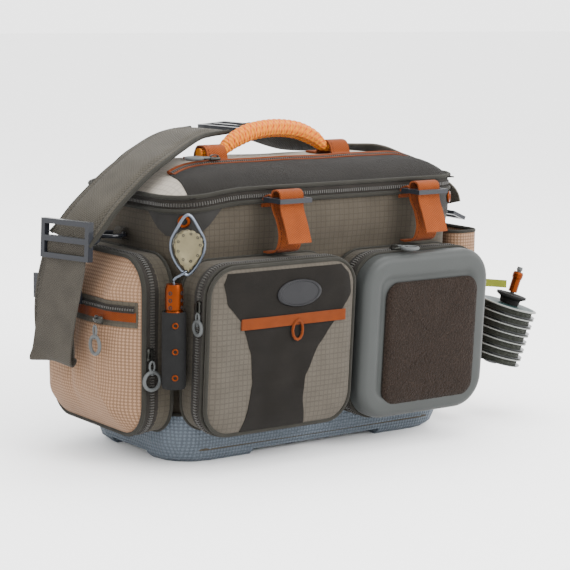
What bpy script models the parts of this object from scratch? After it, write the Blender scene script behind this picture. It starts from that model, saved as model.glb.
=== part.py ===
"""Fishing tackle bag: a soft-sided case on a moulded base, with a hinged lid, zipped pockets, a carry handle,
a shoulder strap, two compression straps, a hanging tool and a stack of line spools.

Bag coordinates: X runs along the long side, the front faces -Y, Z is up and 0 is the bottom of the feet.
Every object hangs from the empty "bag_origin", which puts the frame's origin under the middle of the whole
outline. The pieces of a moving body hang from an empty on that body's joint axis.
"""

import math

import bmesh
import bpy
from mathutils import Matrix, Vector

# ---- driving dimensions, metres ----
FRAME_SHIFT = (-0.0135, 0.0176, 0.0)  # from the body's middle to the middle of the whole outline
GAP = 0.0004  # air between neighbouring solids
BODY_X = 0.160  # half length of the fabric body at its rim
BODY_Y = 0.0845  # half depth of the fabric body at its rim
BODY_R = 0.036  # plan radius of the body's corners
WALL = 0.003  # padded fabric wall
TRAY_TOP = 0.045
TRAY_FLOOR = 0.011
ARCH_HEIGHT = 0.006  # clearance under the base between its feet
RIM_Z = 0.230  # top edge of the fabric body
ZIP_TOP = 0.240
LID_TOP = 0.2585
POCKET_BOTTOM = 0.034
POCKET_TOP = 0.182
FRONT_POCKET = (-0.156, 0.000)  # x range of the front pocket
EVA_POCKET = (0.0065, 0.153)  # x range of the moulded pocket
POCKET_BACK = -0.0858
FRONT_FACE = -0.1175  # back plane of the front pocket's panel
EVA_FACE = -0.109  # back plane of the moulded shell
PANEL = 0.005  # thickness of a pocket panel
SIDE_POCKET_Y = (-0.080, 0.076)
SIDE_POCKET_TOP = 0.186
SIDE_INNER = 0.1608
LEFT_FACE = 0.190
LEFT_BULGE = 0.0215
RIGHT_FACE = 0.195
REAR_POCKET = 0.017
WEB_THICK = 0.0016
STRAP_WIDTH = 0.046
ACROSS = Vector((0.29, -0.957, 0.0))  # width direction of the shoulder strap where it hangs
HANDLE_X = 0.070
HANDLE_AXIS_Z = 0.2660
SPOOL_R = 0.0285
SPOOL_H = 0.0076
SPOOL_PITCH = 0.0082
SPOOL_COUNT = 7
SPOOL_BASE = Vector((0.2300, -0.0560, 0.0540))  # centre of the lowest spool's lower face
SPOOL_AXIS = Vector((0.0145, -0.0090, 0.0592)).normalized()
EYELET = Vector((-0.1535, -0.0900, 0.2230))
TOOL_XY = (-0.1715, -0.0985)

MATERIALS = {
    "rubber_base": ((0.16, 0.18, 0.20), 0.55, 0.0),
    "body_fabric": ((0.42, 0.37, 0.30), 0.85, 0.0),
    "brown_fabric": ((0.13, 0.10, 0.09), 0.85, 0.0),
    "grey_foam": ((0.36, 0.39, 0.38), 0.60, 0.0),
    "mesh_fabric": ((0.60, 0.40, 0.28), 0.80, 0.0),
    "zip_tape": ((0.20, 0.20, 0.17), 0.75, 0.0),
    "orange_webbing": ((0.68, 0.22, 0.05), 0.75, 0.0),
    "olive_webbing": ((0.25, 0.24, 0.20), 0.80, 0.0),
    "rope": ((0.80, 0.40, 0.08), 0.80, 0.0),
    "black_plastic": ((0.06, 0.065, 0.075), 0.40, 0.0),
    "gunmetal": ((0.12, 0.12, 0.11), 0.35, 0.8),
    "grey_rubber": ((0.22, 0.23, 0.23), 0.60, 0.0),
    "board": ((0.10, 0.10, 0.10), 0.70, 0.0),
    "gold_metal": ((0.55, 0.48, 0.28), 0.35, 0.8),
    "orange_metal": ((0.75, 0.22, 0.04), 0.35, 0.6),
    "foam_sleeve": ((0.03, 0.03, 0.03), 0.80, 0.0),
    "spool_plastic": ((0.10, 0.12, 0.13), 0.40, 0.0),
    "yellow_webbing": ((0.62, 0.60, 0.10), 0.70, 0.0),
}


# ---- scene and helpers ----
def clear_scene():
    for obj in list(bpy.data.objects):
        bpy.data.objects.remove(obj)


def make_material(name):
    colour, roughness, metallic = MATERIALS[name]
    material = bpy.data.materials.new(name)
    material.use_nodes = True
    shader = material.node_tree.nodes["Principled BSDF"]
    shader.inputs["Base Color"].default_value = (*colour, 1.0)
    shader.inputs["Roughness"].default_value = roughness
    shader.inputs["Metallic"].default_value = metallic
    return material


def empty(name, location, parent=None):
    """A pivot at a place in bag coordinates."""
    pivot = bpy.data.objects.new(name, None)
    bpy.context.scene.collection.objects.link(pivot)
    pivot.parent = parent
    pivot["bag_location"] = tuple(location)
    inner = Vector(parent["bag_location"]) if parent else Vector((0, 0, 0))
    pivot.location = Vector(location) - inner
    return pivot


def add_object(name, mesh, pivot, material):
    """Links a mesh made in bag coordinates, with its origin on the pivot."""
    origin = Vector(pivot["bag_location"])
    mesh.transform(Matrix.Translation(-origin))
    obj = bpy.data.objects.new(name, mesh)
    bpy.context.scene.collection.objects.link(obj)
    obj.parent = pivot
    mesh.materials.append(bpy.data.materials.get(material) or make_material(material))
    mesh.shade_smooth()
    mesh.set_sharp_from_angle(angle=math.radians(35))
    return obj


def mesh_of_rings(name, rings, looped=False):
    """A closed skin over rings of equally many points: looped joins the last ring to the first, else both are capped."""
    mesh = bpy.data.meshes.new(name)
    work = bmesh.new()
    made = [[work.verts.new(p) for p in ring] for ring in rings]
    count = len(made[0])
    pairs = list(zip(made, made[1:]))
    if looped:
        pairs.append((made[-1], made[0]))
    for low, high in pairs:
        for i in range(count):
            j = (i + 1) % count
            work.faces.new((low[i], low[j], high[j], high[i]))
    if not looped:
        work.faces.new(list(reversed(made[0])))
        work.faces.new(made[-1])
    bmesh.ops.recalc_face_normals(work, faces=work.faces)
    work.to_mesh(mesh)
    work.free()
    return mesh


def ring_solid(name, rings, pivot, material, looped=False):
    return add_object(name, mesh_of_rings(name, rings, looped), pivot, material)


def rounded(half_u, half_v, radius, steps=4):
    """Points of a rounded rectangle about the origin."""
    points = []
    for corner, (su, sv) in enumerate(((1, 1), (-1, 1), (-1, -1), (1, -1))):
        for k in range(steps + 1):
            angle = math.pi / 2 * (corner + k / steps)
            u = su * (half_u - radius) + radius * math.cos(angle)
            v = sv * (half_v - radius) + radius * math.sin(angle)
            points.append((u, v))
    return points


def plan_ring(half_x, half_y, radius, z, centre=(0.0, 0.0)):
    return [Vector((centre[0] + u, centre[1] + v, z)) for u, v in rounded(half_x, half_y, radius)]


def lean(z):
    """The front pockets stand further out at their tops."""
    return -0.05 * (z - POCKET_BOTTOM)


def face_ring(x_range, z_range, radius, y, inset=0.0, leaning=True):
    """A rounded rectangle in a plane that faces the front, set in from its outline."""
    middle_x, middle_z = sum(x_range) / 2, sum(z_range) / 2
    half_x = (x_range[1] - x_range[0]) / 2 - inset
    half_z = (z_range[1] - z_range[0]) / 2 - inset
    ring = []
    for u, v in rounded(half_x, half_z, max(radius - inset, 0.004)):
        z = middle_z + v
        ring.append(Vector((middle_x + u, y + (lean(z) if leaning else 0.0), z)))
    return ring


def end_ring(y_range, z_range, radius, x, inset=0.0):
    """A rounded rectangle in a plane that faces one end of the bag."""
    middle_y, middle_z = sum(y_range) / 2, sum(z_range) / 2
    half_y = (y_range[1] - y_range[0]) / 2 - inset
    half_z = (z_range[1] - z_range[0]) / 2 - inset
    return [Vector((x, middle_y + u, middle_z + v)) for u, v in rounded(half_y, half_z, max(radius - inset, 0.004))]


def smooth_path(points, per_span=3):
    """Points of a Catmull-Rom curve through the given ones."""
    ends = [2 * points[0] - points[1], *points, 2 * points[-1] - points[-2]]
    path = []
    for i in range(1, len(ends) - 2):
        a, b, c, d = ends[i - 1 : i + 3]
        for k in range(per_span):
            t = k / per_span
            path.append(0.5 * (2 * b + (c - a) * t + (2 * a - 5 * b + 4 * c - d) * t**2 + (3 * b - a - 3 * c + d) * t**3))
    return path + [points[-1]]


def tangents(path, closed=False):
    found = []
    for i in range(len(path)):
        ahead = path[(i + 1) % len(path)] if closed or i + 1 < len(path) else path[i]
        behind = path[i - 1] if closed or i else path[i]
        found.append((ahead - behind).normalized())
    return found


def band(name, path, across, width, thickness, pivot, material):
    """Webbing or padding: a flat section that follows a path. across is one direction, or one for each point."""
    sides = across if isinstance(across, list) else [across] * len(path)
    rings = []
    for point, tangent, side in zip(path, tangents(path), sides):
        flat = (side - tangent * side.dot(tangent)).normalized() * width / 2
        up = tangent.cross(flat).normalized() * thickness / 2
        rings.append([point + flat + up, point - flat + up, point - flat - up, point + flat - up])
    return ring_solid(name, rings, pivot, material)


def tube_rings(path, radius, sides=8, closed=False, start=Vector((0, 0, 1))):
    """Circular sections along a path; radius is one value, or one for each point."""
    radii = radius if isinstance(radius, list) else [radius] * len(path)
    rings = []
    for point, tangent, r in zip(path, tangents(path, closed), radii):
        first = (start - tangent * start.dot(tangent)).normalized()
        second = tangent.cross(first)
        start = first
        ring = [point + r * (math.cos(a) * first + math.sin(a) * second)
                for a in (2 * math.pi * k / sides for k in range(sides))]
        rings.append(ring)
    return rings


def loop_path(centre, u, v, half_u, half_v, count=20):
    """An ellipse about a centre in the plane of two directions."""
    return [centre + u * half_u * math.cos(a) + v * half_v * math.sin(a)
            for a in (2 * math.pi * k / count for k in range(count))]


def turned(name, base, axis, profile, pivot, material, sides=24, looped=False):
    """A turned shape: profile lists (radius, height) from a base point along an axis."""
    first = axis.orthogonal().normalized()
    second = axis.cross(first)
    rings = []
    for radius, height in profile:
        rings.append([base + axis * height + radius * (math.cos(a) * first + math.sin(a) * second)
                      for a in (2 * math.pi * k / sides for k in range(sides))])
    return ring_solid(name, rings, pivot, material, looped)


def slotted_plate(name, columns, rows, open_rows, thickness, matrix, pivot, material):
    """A buckle plate: grid lines in its own plane, with the middle column's open rows left out."""
    mesh = bpy.data.meshes.new(name)
    work = bmesh.new()
    corners = [[work.verts.new((x, y, -thickness / 2)) for x in columns] for y in rows]
    faces = []
    for j in range(len(rows) - 1):
        for i in range(len(columns) - 1):
            if i == 1 and j in open_rows:
                continue
            faces.append(work.faces.new((corners[j][i], corners[j][i + 1], corners[j + 1][i + 1], corners[j + 1][i])))
    lifted = bmesh.ops.extrude_face_region(work, geom=faces)["geom"]
    raised = [g for g in lifted if isinstance(g, bmesh.types.BMVert)]
    bmesh.ops.translate(work, verts=raised, vec=(0, 0, thickness))
    bmesh.ops.recalc_face_normals(work, faces=work.faces)
    work.transform(matrix)
    work.to_mesh(mesh)
    work.free()
    return add_object(name, mesh, pivot, material)


def aligned(origin, x_axis, y_axis):
    """A matrix that puts a flat shape's own x and y along two directions."""
    x = x_axis.normalized()
    y = (y_axis - x * y_axis.dot(x)).normalized()
    z = x.cross(y)
    matrix = Matrix((x, y, z)).transposed().to_4x4()
    matrix.translation = origin
    return matrix


def helper_box(name, low, high, pivot):
    """A cutter for a Boolean, left out of the build."""
    rings = [[Vector((x, y, z)) for x, y in ((low[0], low[1]), (high[0], low[1]), (high[0], high[1]), (low[0], high[1]))]
             for z in (low[2], high[2])]
    cutter = ring_solid(name, rings, pivot, "board")
    cutter.hide_render = True
    cutter.display_type = "WIRE"
    return cutter


def boolean(target, tool, operation):
    modifier = target.modifiers.new(operation.lower(), "BOOLEAN")
    modifier.operation = operation
    modifier.object = tool


# ---- the body ----
def base_tray(root):
    rings = [
        plan_ring(0.1500, 0.0700, 0.034, 0.0),
        plan_ring(0.1550, 0.0750, 0.036, 0.004),
        plan_ring(0.1590, 0.0800, 0.038, 0.018),
        plan_ring(0.1610, 0.0830, 0.039, TRAY_TOP),
        plan_ring(0.1585, 0.0805, 0.037, TRAY_TOP),
        plan_ring(0.1555, 0.0765, 0.034, TRAY_FLOOR),
    ]
    tray = ring_solid("base_tray", rings, root, "rubber_base")
    across = helper_box("arch_across", (-0.072, -0.12, -0.01), (0.072, 0.12, ARCH_HEIGHT), root)
    along = helper_box("arch_along", (-0.20, -0.030, -0.01), (0.20, 0.030, ARCH_HEIGHT), root)
    boolean(tray, across, "DIFFERENCE")
    boolean(tray, along, "DIFFERENCE")


def main_body(root):
    floor = TRAY_FLOOR + GAP
    rings = [
        plan_ring(0.1545, 0.0755, 0.033, floor),
        plan_ring(0.1580, 0.0800, BODY_R, TRAY_TOP + 0.001),
        plan_ring(BODY_X, BODY_Y, BODY_R, 0.150),
        plan_ring(BODY_X, BODY_Y, BODY_R, RIM_Z),
        plan_ring(BODY_X - WALL, BODY_Y - WALL, BODY_R - WALL, RIM_Z),
        plan_ring(BODY_X - WALL, BODY_Y - WALL, BODY_R - WALL, 0.150),
        plan_ring(0.1550, 0.0770, 0.033, TRAY_TOP + 0.001),
        plan_ring(0.1515, 0.0725, 0.030, floor + WALL),
    ]
    ring_solid("main_shell", rings, root, "body_fabric")
    board_z = floor + WALL + GAP
    board = [plan_ring(0.1495, 0.0705, 0.028, z) for z in (board_z, board_z + 0.003)]
    ring_solid("floor_board", board, root, "board")
    low, high = RIM_Z + GAP, ZIP_TOP
    tape = [
        plan_ring(BODY_X + 0.001, BODY_Y + 0.001, BODY_R, low),
        plan_ring(BODY_X + 0.001, BODY_Y + 0.001, BODY_R, high),
        plan_ring(BODY_X - 0.004, BODY_Y - 0.004, BODY_R - 0.004, high),
        plan_ring(BODY_X - 0.004, BODY_Y - 0.004, BODY_R - 0.004, low),
    ]
    ring_solid("main_zip_tape", tape, root, "zip_tape", looped=True)


def lid(pivot):
    rim = ZIP_TOP + GAP
    rings = [
        plan_ring(0.110, 0.028, 0.020, LID_TOP - 0.004),
        plan_ring(0.144, 0.066, 0.028, 0.2480),
        plan_ring(BODY_X - 0.004, BODY_Y - 0.004, BODY_R - 0.004, rim),
        plan_ring(BODY_X + 0.001, BODY_Y + 0.001, BODY_R, rim),
        plan_ring(BODY_X - 0.001, BODY_Y - 0.001, BODY_R, 0.2460),
        plan_ring(0.148, 0.070, 0.032, 0.2525),
        plan_ring(0.118, 0.036, 0.024, LID_TOP),
    ]
    ring_solid("lid_panel", rings, pivot, "brown_fabric")
    line = [Vector((x, -0.030, LID_TOP + GAP + 0.0011)) for x in (-0.094, 0.094)]
    band("lid_pocket_zip", line, Vector((0, 1, 0)), 0.009, 0.0022, pivot, "orange_webbing")
    for side, name in ((-1, "left"), (1, "right")):
        foot = LID_TOP + GAP
        shape = ((-0.0125, foot), (-0.0105, foot + 0.007), (-0.0055, foot + 0.0140), (0.0055, foot + 0.0140),
                 (0.0105, foot + 0.007), (0.0125, foot))
        path = [Vector((side * HANDLE_X, y, z)) for y, z in shape]
        band(f"handle_anchor_{name}", path, Vector((1, 0, 0)), 0.020, 0.0018, pivot, "orange_webbing")


def handle(pivot):
    points = [(-0.083, 0), (-0.070, 0), (-0.058, 0.0015), (-0.045, 0.0100), (-0.025, 0.0175), (0, 0.0200)]
    points += [(-x, z) for x, z in reversed(points[:-1])]
    path = smooth_path([Vector((x, 0, HANDLE_AXIS_Z + z)) for x, z in points], per_span=2)
    radii = [0.0042 + 0.0036 * max(0.0, 1 - abs(p.x / 0.056) ** 4) for p in path]
    ring_solid("handle_grip", tube_rings(path, radii, sides=10, start=Vector((0, 1, 0))), pivot, "rope")


# ---- pockets ----
def pocket_frame(name, x_range, z_range, radius, back, front, root):
    """The zipped wall round a front pocket, open at its front and closed by the body behind."""
    rings = [
        face_ring(x_range, z_range, radius, back, leaning=False),
        face_ring(x_range, z_range, radius, front),
        face_ring(x_range, z_range, radius, front, inset=WALL),
        face_ring(x_range, z_range, radius, back, inset=WALL, leaning=False),
    ]
    ring_solid(name, rings, root, "body_fabric", looped=True)


def front_pocket(root, pivot):
    heights = (POCKET_BOTTOM, POCKET_TOP)
    pocket_frame("front_pocket_gusset", FRONT_POCKET, heights, 0.026, POCKET_BACK, FRONT_FACE + GAP, root)
    rings = [
        face_ring(FRONT_POCKET, heights, 0.026, FRONT_FACE),
        face_ring(FRONT_POCKET, heights, 0.026, FRONT_FACE - 0.0025),
        face_ring(FRONT_POCKET, heights, 0.026, FRONT_FACE - PANEL, inset=0.008),
    ]
    ring_solid("front_pocket_panel", rings, pivot, "brown_fabric")


def moulded_pocket(root, pivot):
    heights = (POCKET_BOTTOM - 0.004, POCKET_TOP - 0.002)
    inner = 0.004
    pocket_frame("eva_pocket_gusset", EVA_POCKET, heights, 0.030, POCKET_BACK, EVA_FACE + GAP, root)
    rings = [
        face_ring(EVA_POCKET, heights, 0.030, EVA_FACE - 0.017, inset=inner + 0.004),
        face_ring(EVA_POCKET, heights, 0.030, EVA_FACE, inset=inner),
        face_ring(EVA_POCKET, heights, 0.030, EVA_FACE),
        face_ring(EVA_POCKET, heights, 0.030, EVA_FACE - 0.012),
        face_ring(EVA_POCKET, heights, 0.030, EVA_FACE - 0.019, inset=0.005),
        face_ring(EVA_POCKET, heights, 0.030, EVA_FACE - 0.021, inset=0.012),
    ]
    ring_solid("eva_shell", rings, pivot, "grey_foam")
    patch = [face_ring((0.032, 0.139), (0.042, 0.155), 0.014, EVA_FACE - y) for y in (0.0214, 0.0228)]
    ring_solid("eva_patch", patch, pivot, "brown_fabric")


def left_pocket(root):
    heights = (POCKET_BOTTOM - 0.004, SIDE_POCKET_TOP)
    rings = [
        end_ring(SIDE_POCKET_Y, heights, 0.030, -SIDE_INNER),
        end_ring(SIDE_POCKET_Y, heights, 0.030, -LEFT_FACE + GAP),
        end_ring(SIDE_POCKET_Y, heights, 0.030, -LEFT_FACE + GAP, inset=WALL),
        end_ring(SIDE_POCKET_Y, heights, 0.030, -SIDE_INNER, inset=WALL),
    ]
    ring_solid("left_pocket_gusset", rings, root, "body_fabric", looped=True)
    bulge = LEFT_BULGE
    inner = WALL + 0.001
    shell = [
        end_ring(SIDE_POCKET_Y, heights, 0.030, -LEFT_FACE - bulge + WALL, inset=0.036),
        end_ring(SIDE_POCKET_Y, heights, 0.030, -LEFT_FACE - 0.7 * bulge + WALL, inset=0.017),
        end_ring(SIDE_POCKET_Y, heights, 0.030, -LEFT_FACE, inset=inner),
        end_ring(SIDE_POCKET_Y, heights, 0.030, -LEFT_FACE),
        end_ring(SIDE_POCKET_Y, heights, 0.030, -LEFT_FACE - 0.35 * bulge, inset=0.004),
        end_ring(SIDE_POCKET_Y, heights, 0.030, -LEFT_FACE - 0.8 * bulge, inset=0.018),
        end_ring(SIDE_POCKET_Y, heights, 0.030, -LEFT_FACE - bulge, inset=0.036),
    ]
    ring_solid("left_pocket_panel", shell, root, "mesh_fabric")


def open_pocket(name, centre, half_x, half_y, top, root):
    """A slip pocket that is open at its top."""
    low = POCKET_BOTTOM
    radius = min(half_x, half_y) * 0.8
    inner = (half_x - 0.0025, half_y - 0.0025, radius * 0.6)
    rings = [
        plan_ring(half_x - 0.002, half_y - 0.002, radius, low, centre),
        plan_ring(half_x, half_y, radius, low + 0.010, centre),
        plan_ring(half_x, half_y, radius, top, centre),
        plan_ring(*inner, top, centre),
        plan_ring(*inner, low + 0.0025, centre),
    ]
    ring_solid(name, rings, root, "body_fabric")


def slip_pockets(root):
    reach = (RIGHT_FACE - SIDE_INNER - GAP) / 2
    open_pocket("right_pocket", (RIGHT_FACE - reach, 0.0), reach, 0.074, SIDE_POCKET_TOP, root)
    open_pocket("rear_pocket", (0.0, BODY_Y + 0.0012 + REAR_POCKET / 2), 0.138, REAR_POCKET / 2, 0.176, root)


# ---- zip sliders ----
def slider(name, centre, along, outward, pivot, long=0.010, wide=0.006, high=0.003):
    side = along.cross(outward)
    rings = []
    for height, grow in ((0.0, 0.8), (0.4 * high, 1.0), (high, 0.6)):
        rings.append([centre + outward * height + along * u + side * v
                      for u, v in rounded(long / 2 * grow, wide / 2 * grow, 0.0022 * grow, steps=2)])
    ring_solid(name, rings, pivot, "gunmetal")


def pull_loop(name, top, down, side, length, pivot, radius=0.0010):
    """The cord loop that hangs from a slider; its top bar lies on the pivot."""
    path = loop_path(top + down * length / 2, side, down, length * 0.36, length / 2, count=14)
    ring_solid(name, tube_rings(path, radius, sides=6, closed=True, start=side.cross(down)), pivot, "grey_rubber",
               looped=True)


# ---- strap hardware ----
def ladder_lock(name, matrix, pivot, width=0.056, height=0.034, thickness=0.006):
    rim = 0.0045
    columns = (-width / 2, -width / 2 + rim, width / 2 - rim, width / 2)
    rows = (-height / 2, -height / 2 + rim, -0.0025, 0.0025, height / 2 - rim, height / 2)
    slotted_plate(name, columns, rows, (1, 3), thickness, matrix, pivot, "black_plastic")


def strap_end(side, root):
    """The sewn tab, D-ring and snap hook on one end of the bag."""
    name = "left" if side < 0 else "right"
    z = 0.1980
    x_axis, y_axis, z_axis = Vector((side, 0, 0)), Vector((0, 1, 0)), Vector((0, 0, 1))
    tab = [x_axis * x + z_axis * (z + h) for x, h in
           ((0.1606, 0.0045), (0.1655, 0.0045), (0.1676, 0.0), (0.1655, -0.0045), (0.1606, -0.0045))]
    band(f"strap_tab_{name}", tab, y_axis, 0.012, 0.0012, root, "olive_webbing")
    ring = loop_path(x_axis * 0.1766 + z_axis * z, x_axis, y_axis, 0.014, 0.014)
    ring_solid(f"d_ring_{name}", tube_rings(ring, 0.0018, sides=8, closed=True), root, "black_plastic", looped=True)
    hook = loop_path(x_axis * 0.1935 + z_axis * z, x_axis, z_axis, 0.0075, 0.0075)
    link = ring_solid(f"strap_hook_{name}", tube_rings(hook, 0.0017, sides=8, closed=True, start=y_axis), root,
                      "black_plastic", looped=True)
    outward = (x_axis * 0.8 - z_axis * 0.35).normalized()
    matrix = aligned(x_axis * 0.2095 + z_axis * (z - 0.0035), y_axis, outward)
    rows = (-0.0085, -0.0045, 0.0045, 0.0080)
    slotted_plate(f"hook_bar_{name}", (-0.026, -0.0225, 0.0225, 0.026), rows, (1,), 0.0036, matrix, root,
                  "black_plastic")
    bar = bpy.data.objects[f"hook_bar_{name}"]
    bar.hide_render = True
    bar.display_type = "WIRE"
    boolean(link, bar, "UNION")


def shoulder_strap(root, lid_pivot):
    upright = Vector((0.03, 0.05, 1.0))
    lock = Vector((-0.2300, -0.0190, 0.1990))
    ladder_lock("ladder_lock_left", aligned(lock, ACROSS, upright), root)
    hanging = [
        Vector((-0.2305, -0.0175, 0.1755)), Vector((-0.2330, -0.0080, 0.1350)), Vector((-0.2345, 0.0000, 0.0980)),
        Vector((-0.2310, 0.0040, 0.0905)), Vector((-0.2270, 0.0070, 0.0980)), Vector((-0.2265, 0.0120, 0.1320)),
        Vector((-0.2240, 0.0090, 0.1660)), Vector((-0.2205, 0.0060, 0.1820)),
    ]
    band("strap_webbing_left", smooth_path(hanging, 2), ACROSS, STRAP_WIDTH - 0.002, WEB_THICK, root, "olive_webbing")
    glide = aligned(Vector((-0.2215, 0.0125, 0.1520)), ACROSS, Vector((0, 0, 1)))
    ladder_lock("tri_glide", glide, root, height=0.022, thickness=0.003)

    pad = [
        Vector((-0.2165, -0.0190, 0.2090)), Vector((-0.2030, -0.0180, 0.2235)), Vector((-0.1880, -0.0150, 0.2355)),
        Vector((-0.1660, -0.0095, 0.2505)), Vector((-0.1450, -0.0035, 0.2615)), Vector((-0.1180, 0.0130, 0.2700)),
        Vector((-0.0800, 0.0335, 0.2795)), Vector((-0.0450, 0.0395, 0.2830)),
    ]
    path = smooth_path(pad, 3)
    level = Vector((0.15, -0.98, 0.0))
    sides = [ACROSS.lerp(level, i / (len(path) - 1)) for i in range(len(path))]
    band("strap_pad", path, sides, 0.050, 0.007, lid_pivot, "olive_webbing")
    top_lock = aligned(Vector((-0.0190, 0.0415, 0.2840)), level, Vector((1, 0.2, 0.05)))
    ladder_lock("ladder_lock_top", top_lock, lid_pivot)
    right = [
        Vector((0.0020, 0.0470, 0.2820)), Vector((0.0300, 0.0530, 0.2730)), Vector((0.0700, 0.0590, 0.2625)),
        Vector((0.1150, 0.0600, 0.2590)), Vector((0.1500, 0.0540, 0.2560)), Vector((0.1760, 0.0400, 0.2440)),
        Vector((0.1980, 0.0200, 0.2270)), Vector((0.2120, 0.0070, 0.2125)),
    ]
    band("strap_webbing_right", smooth_path(right, 2), Vector((0.1, -1, 0.22)), STRAP_WIDTH - 0.002, WEB_THICK,
         lid_pivot, "olive_webbing")


def compression_strap(name, x, pivot):
    """A strap sewn to a pocket's top, taken up through a ladder lock, with its tail hanging in front."""
    profile = ((-0.0895, 0.1860), (-0.0985, 0.1862), (-0.1085, 0.1900), (-0.1125, 0.2020), (-0.1085, 0.2150),
               (-0.1016, 0.2260), (-0.1010, 0.2385), (-0.1070, 0.2415), (-0.1130, 0.2385), (-0.1140, 0.2260),
               (-0.1205, 0.2120), (-0.1265, 0.1970))
    path = smooth_path([Vector((x, y, z)) for y, z in profile], 2)
    band(f"compression_strap_{name}", path, Vector((1, 0, 0)), 0.0245, 0.0014, pivot, "orange_webbing")
    matrix = aligned(Vector((x, -0.1070, 0.2330)), Vector((1, 0, 0)), Vector((0, 1, 0)))
    rows = (-0.0135, -0.0100, -0.0030, 0.0030, 0.0085, 0.0120)
    slotted_plate(f"compression_buckle_{name}", (-0.017, -0.0138, 0.0138, 0.017), rows, (1, 3), 0.0040, matrix, pivot,
                  "black_plastic")


# ---- hanging tool ----
def hanging_tool(reel_pivot, tube_pivot, sleeve_pivot):
    normal = Vector((-0.35, -0.94, 0.0)).normalized()
    side = Vector((0.94, -0.35, 0.0)).normalized()
    up = Vector((0, 0, 1))
    centre = EYELET + Vector((-0.0075, -0.0130, -0.0235))

    def outline(grow):
        """A round head that narrows to a foot."""
        points = []
        for k in range(20):
            angle = 2 * math.pi * k / 20
            u, v = math.cos(angle), math.sin(angle)
            drop = 1.0 if v > 0 else 1.75
            pinch = 1.0 if v > 0 else 1.0 - 0.45 * v * v
            points.append((u * pinch * (0.0125 + grow), v * drop * (0.0125 + grow)))
        return points

    case = [[centre + normal * n + side * u + up * v for u, v in outline(g)]
            for n, g in ((-0.004, -0.001), (-0.003, 0.0), (0.003, 0.0), (0.004, -0.001))]
    ring_solid("tool_reel", case, reel_pivot, "gold_metal")
    back = centre + normal * -0.0005
    clip = []
    for u, v in outline(0.0022):
        lift = 0.0105 * max(0.0, v / 0.0147) ** 6
        clip.append(back + side * u + up * (v + lift))
    ring_solid("reel_clip", tube_rings(clip, 0.0014, sides=6, closed=True, start=normal), reel_pivot, "grey_rubber",
               looped=True)
    foot = Vector((*TOOL_XY, 0.0800))
    tube = [(0.0060, 0.0), (0.0078, 0.0015), (0.0078, 0.0860), (0.0062, 0.0865), (0.0062, 0.0060)]
    turned("tool_tube", foot, up, tube, tube_pivot, "orange_metal", sides=16)
    sleeve = [(0.0083, 0.0), (0.0103, 0.0), (0.0103, 0.0660), (0.0083, 0.0660)]
    turned("tool_sleeve", foot - up * 0.003, up, sleeve, sleeve_pivot, "foam_sleeve", sides=16, looped=True)


# ---- line spools ----
def spool_stack(root, pivots):
    flange = 0.0013
    groove = SPOOL_R - 0.0035
    bore = 0.0050
    profile = [(bore, 0), (SPOOL_R, 0), (SPOOL_R, flange), (groove, flange), (groove, SPOOL_H - flange),
               (SPOOL_R, SPOOL_H - flange), (SPOOL_R, SPOOL_H), (bore, SPOOL_H)]
    for k, pivot in enumerate(pivots):
        base = SPOOL_BASE + SPOOL_AXIS * SPOOL_PITCH * k
        turned(f"line_spool_{k + 1}", base, SPOOL_AXIS, profile, pivot, "spool_plastic", looped=True)
    top = SPOOL_PITCH * SPOOL_COUNT
    cord = [(0.0062, -0.0040), (0.0070, -0.0025), (0.0060, -0.0006), (0.0021, -0.0006), (0.0021, top + 0.0330),
            (0.0030, top + 0.0350), (0.0026, top + 0.0375)]
    turned("spool_cord", SPOOL_BASE, SPOOL_AXIS, cord, root, "grey_rubber", sides=12)
    cone = [(0.0025, 0.0), (0.0095, 0.0), (0.0105, 0.0050), (0.0150, 0.0075), (0.0150, 0.0095), (0.0025, 0.0105)]
    turned("spool_cone", SPOOL_BASE + SPOOL_AXIS * top, SPOOL_AXIS, cone, root, "foam_sleeve", looped=True)
    toggle = [(0.0025, 0.0), (0.0044, 0.0), (0.0044, 0.0130), (0.0052, 0.0150), (0.0052, 0.0185), (0.0044, 0.0205),
              (0.0025, 0.0205)]
    turned("spool_toggle", SPOOL_BASE + SPOOL_AXIS * (top + 0.0120), SPOOL_AXIS, toggle, root, "orange_metal",
           sides=16, looped=True)
    knot = SPOOL_BASE + SPOOL_AXIS * (top + 0.0155)
    tab = [Vector((RIGHT_FACE + 0.0020, -0.0400, knot.z + 0.0085)), Vector((0.2150, -0.0480, knot.z + 0.0065)),
           knot + Vector((-0.0070, 0.0030, 0.0045))]
    band("spool_tab", smooth_path(tab, 2), Vector((0, 0.2, 1)), 0.0075, 0.0014, root, "yellow_webbing")


# ---- assembly ----
X, Y, Z = Vector((1, 0, 0)), Vector((0, 1, 0)), Vector((0, 0, 1))
STRAP_X = {"left": -0.061, "right": 0.094}
PIVOTS = {
    "lid": (0.0, BODY_Y + 0.0022, ZIP_TOP),
    "front_door": (-0.078, FRONT_FACE, POCKET_BOTTOM),
    "eva_door": (0.080, EVA_FACE, POCKET_BOTTOM - 0.004),
    "reel": tuple(EYELET),
    "strap_left": (STRAP_X["left"], -0.0925, 0.2330),
    "strap_right": (STRAP_X["right"], -0.0925, 0.2330),
    "main_slider": (-0.1615, 0.0200, 0.2350),
    "edge_slider": (-0.1850, -0.0806, 0.1040),
    "mesh_slider": (-0.2125, -0.0450, 0.1320),
    "front_slider": (-0.1566, -0.1155, 0.1480),
    "eva_slider": (0.0600, -0.1090, POCKET_TOP - 0.0014),
}
CHILD_PIVOTS = {
    "handle": ("lid", (0.0, 0.0, HANDLE_AXIS_Z)),
    "lid_slider": ("lid", (-0.0860, -0.0300, LID_TOP + 0.0034)),
    "tube": ("reel", (*TOOL_XY, 0.1655)),
}
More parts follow.
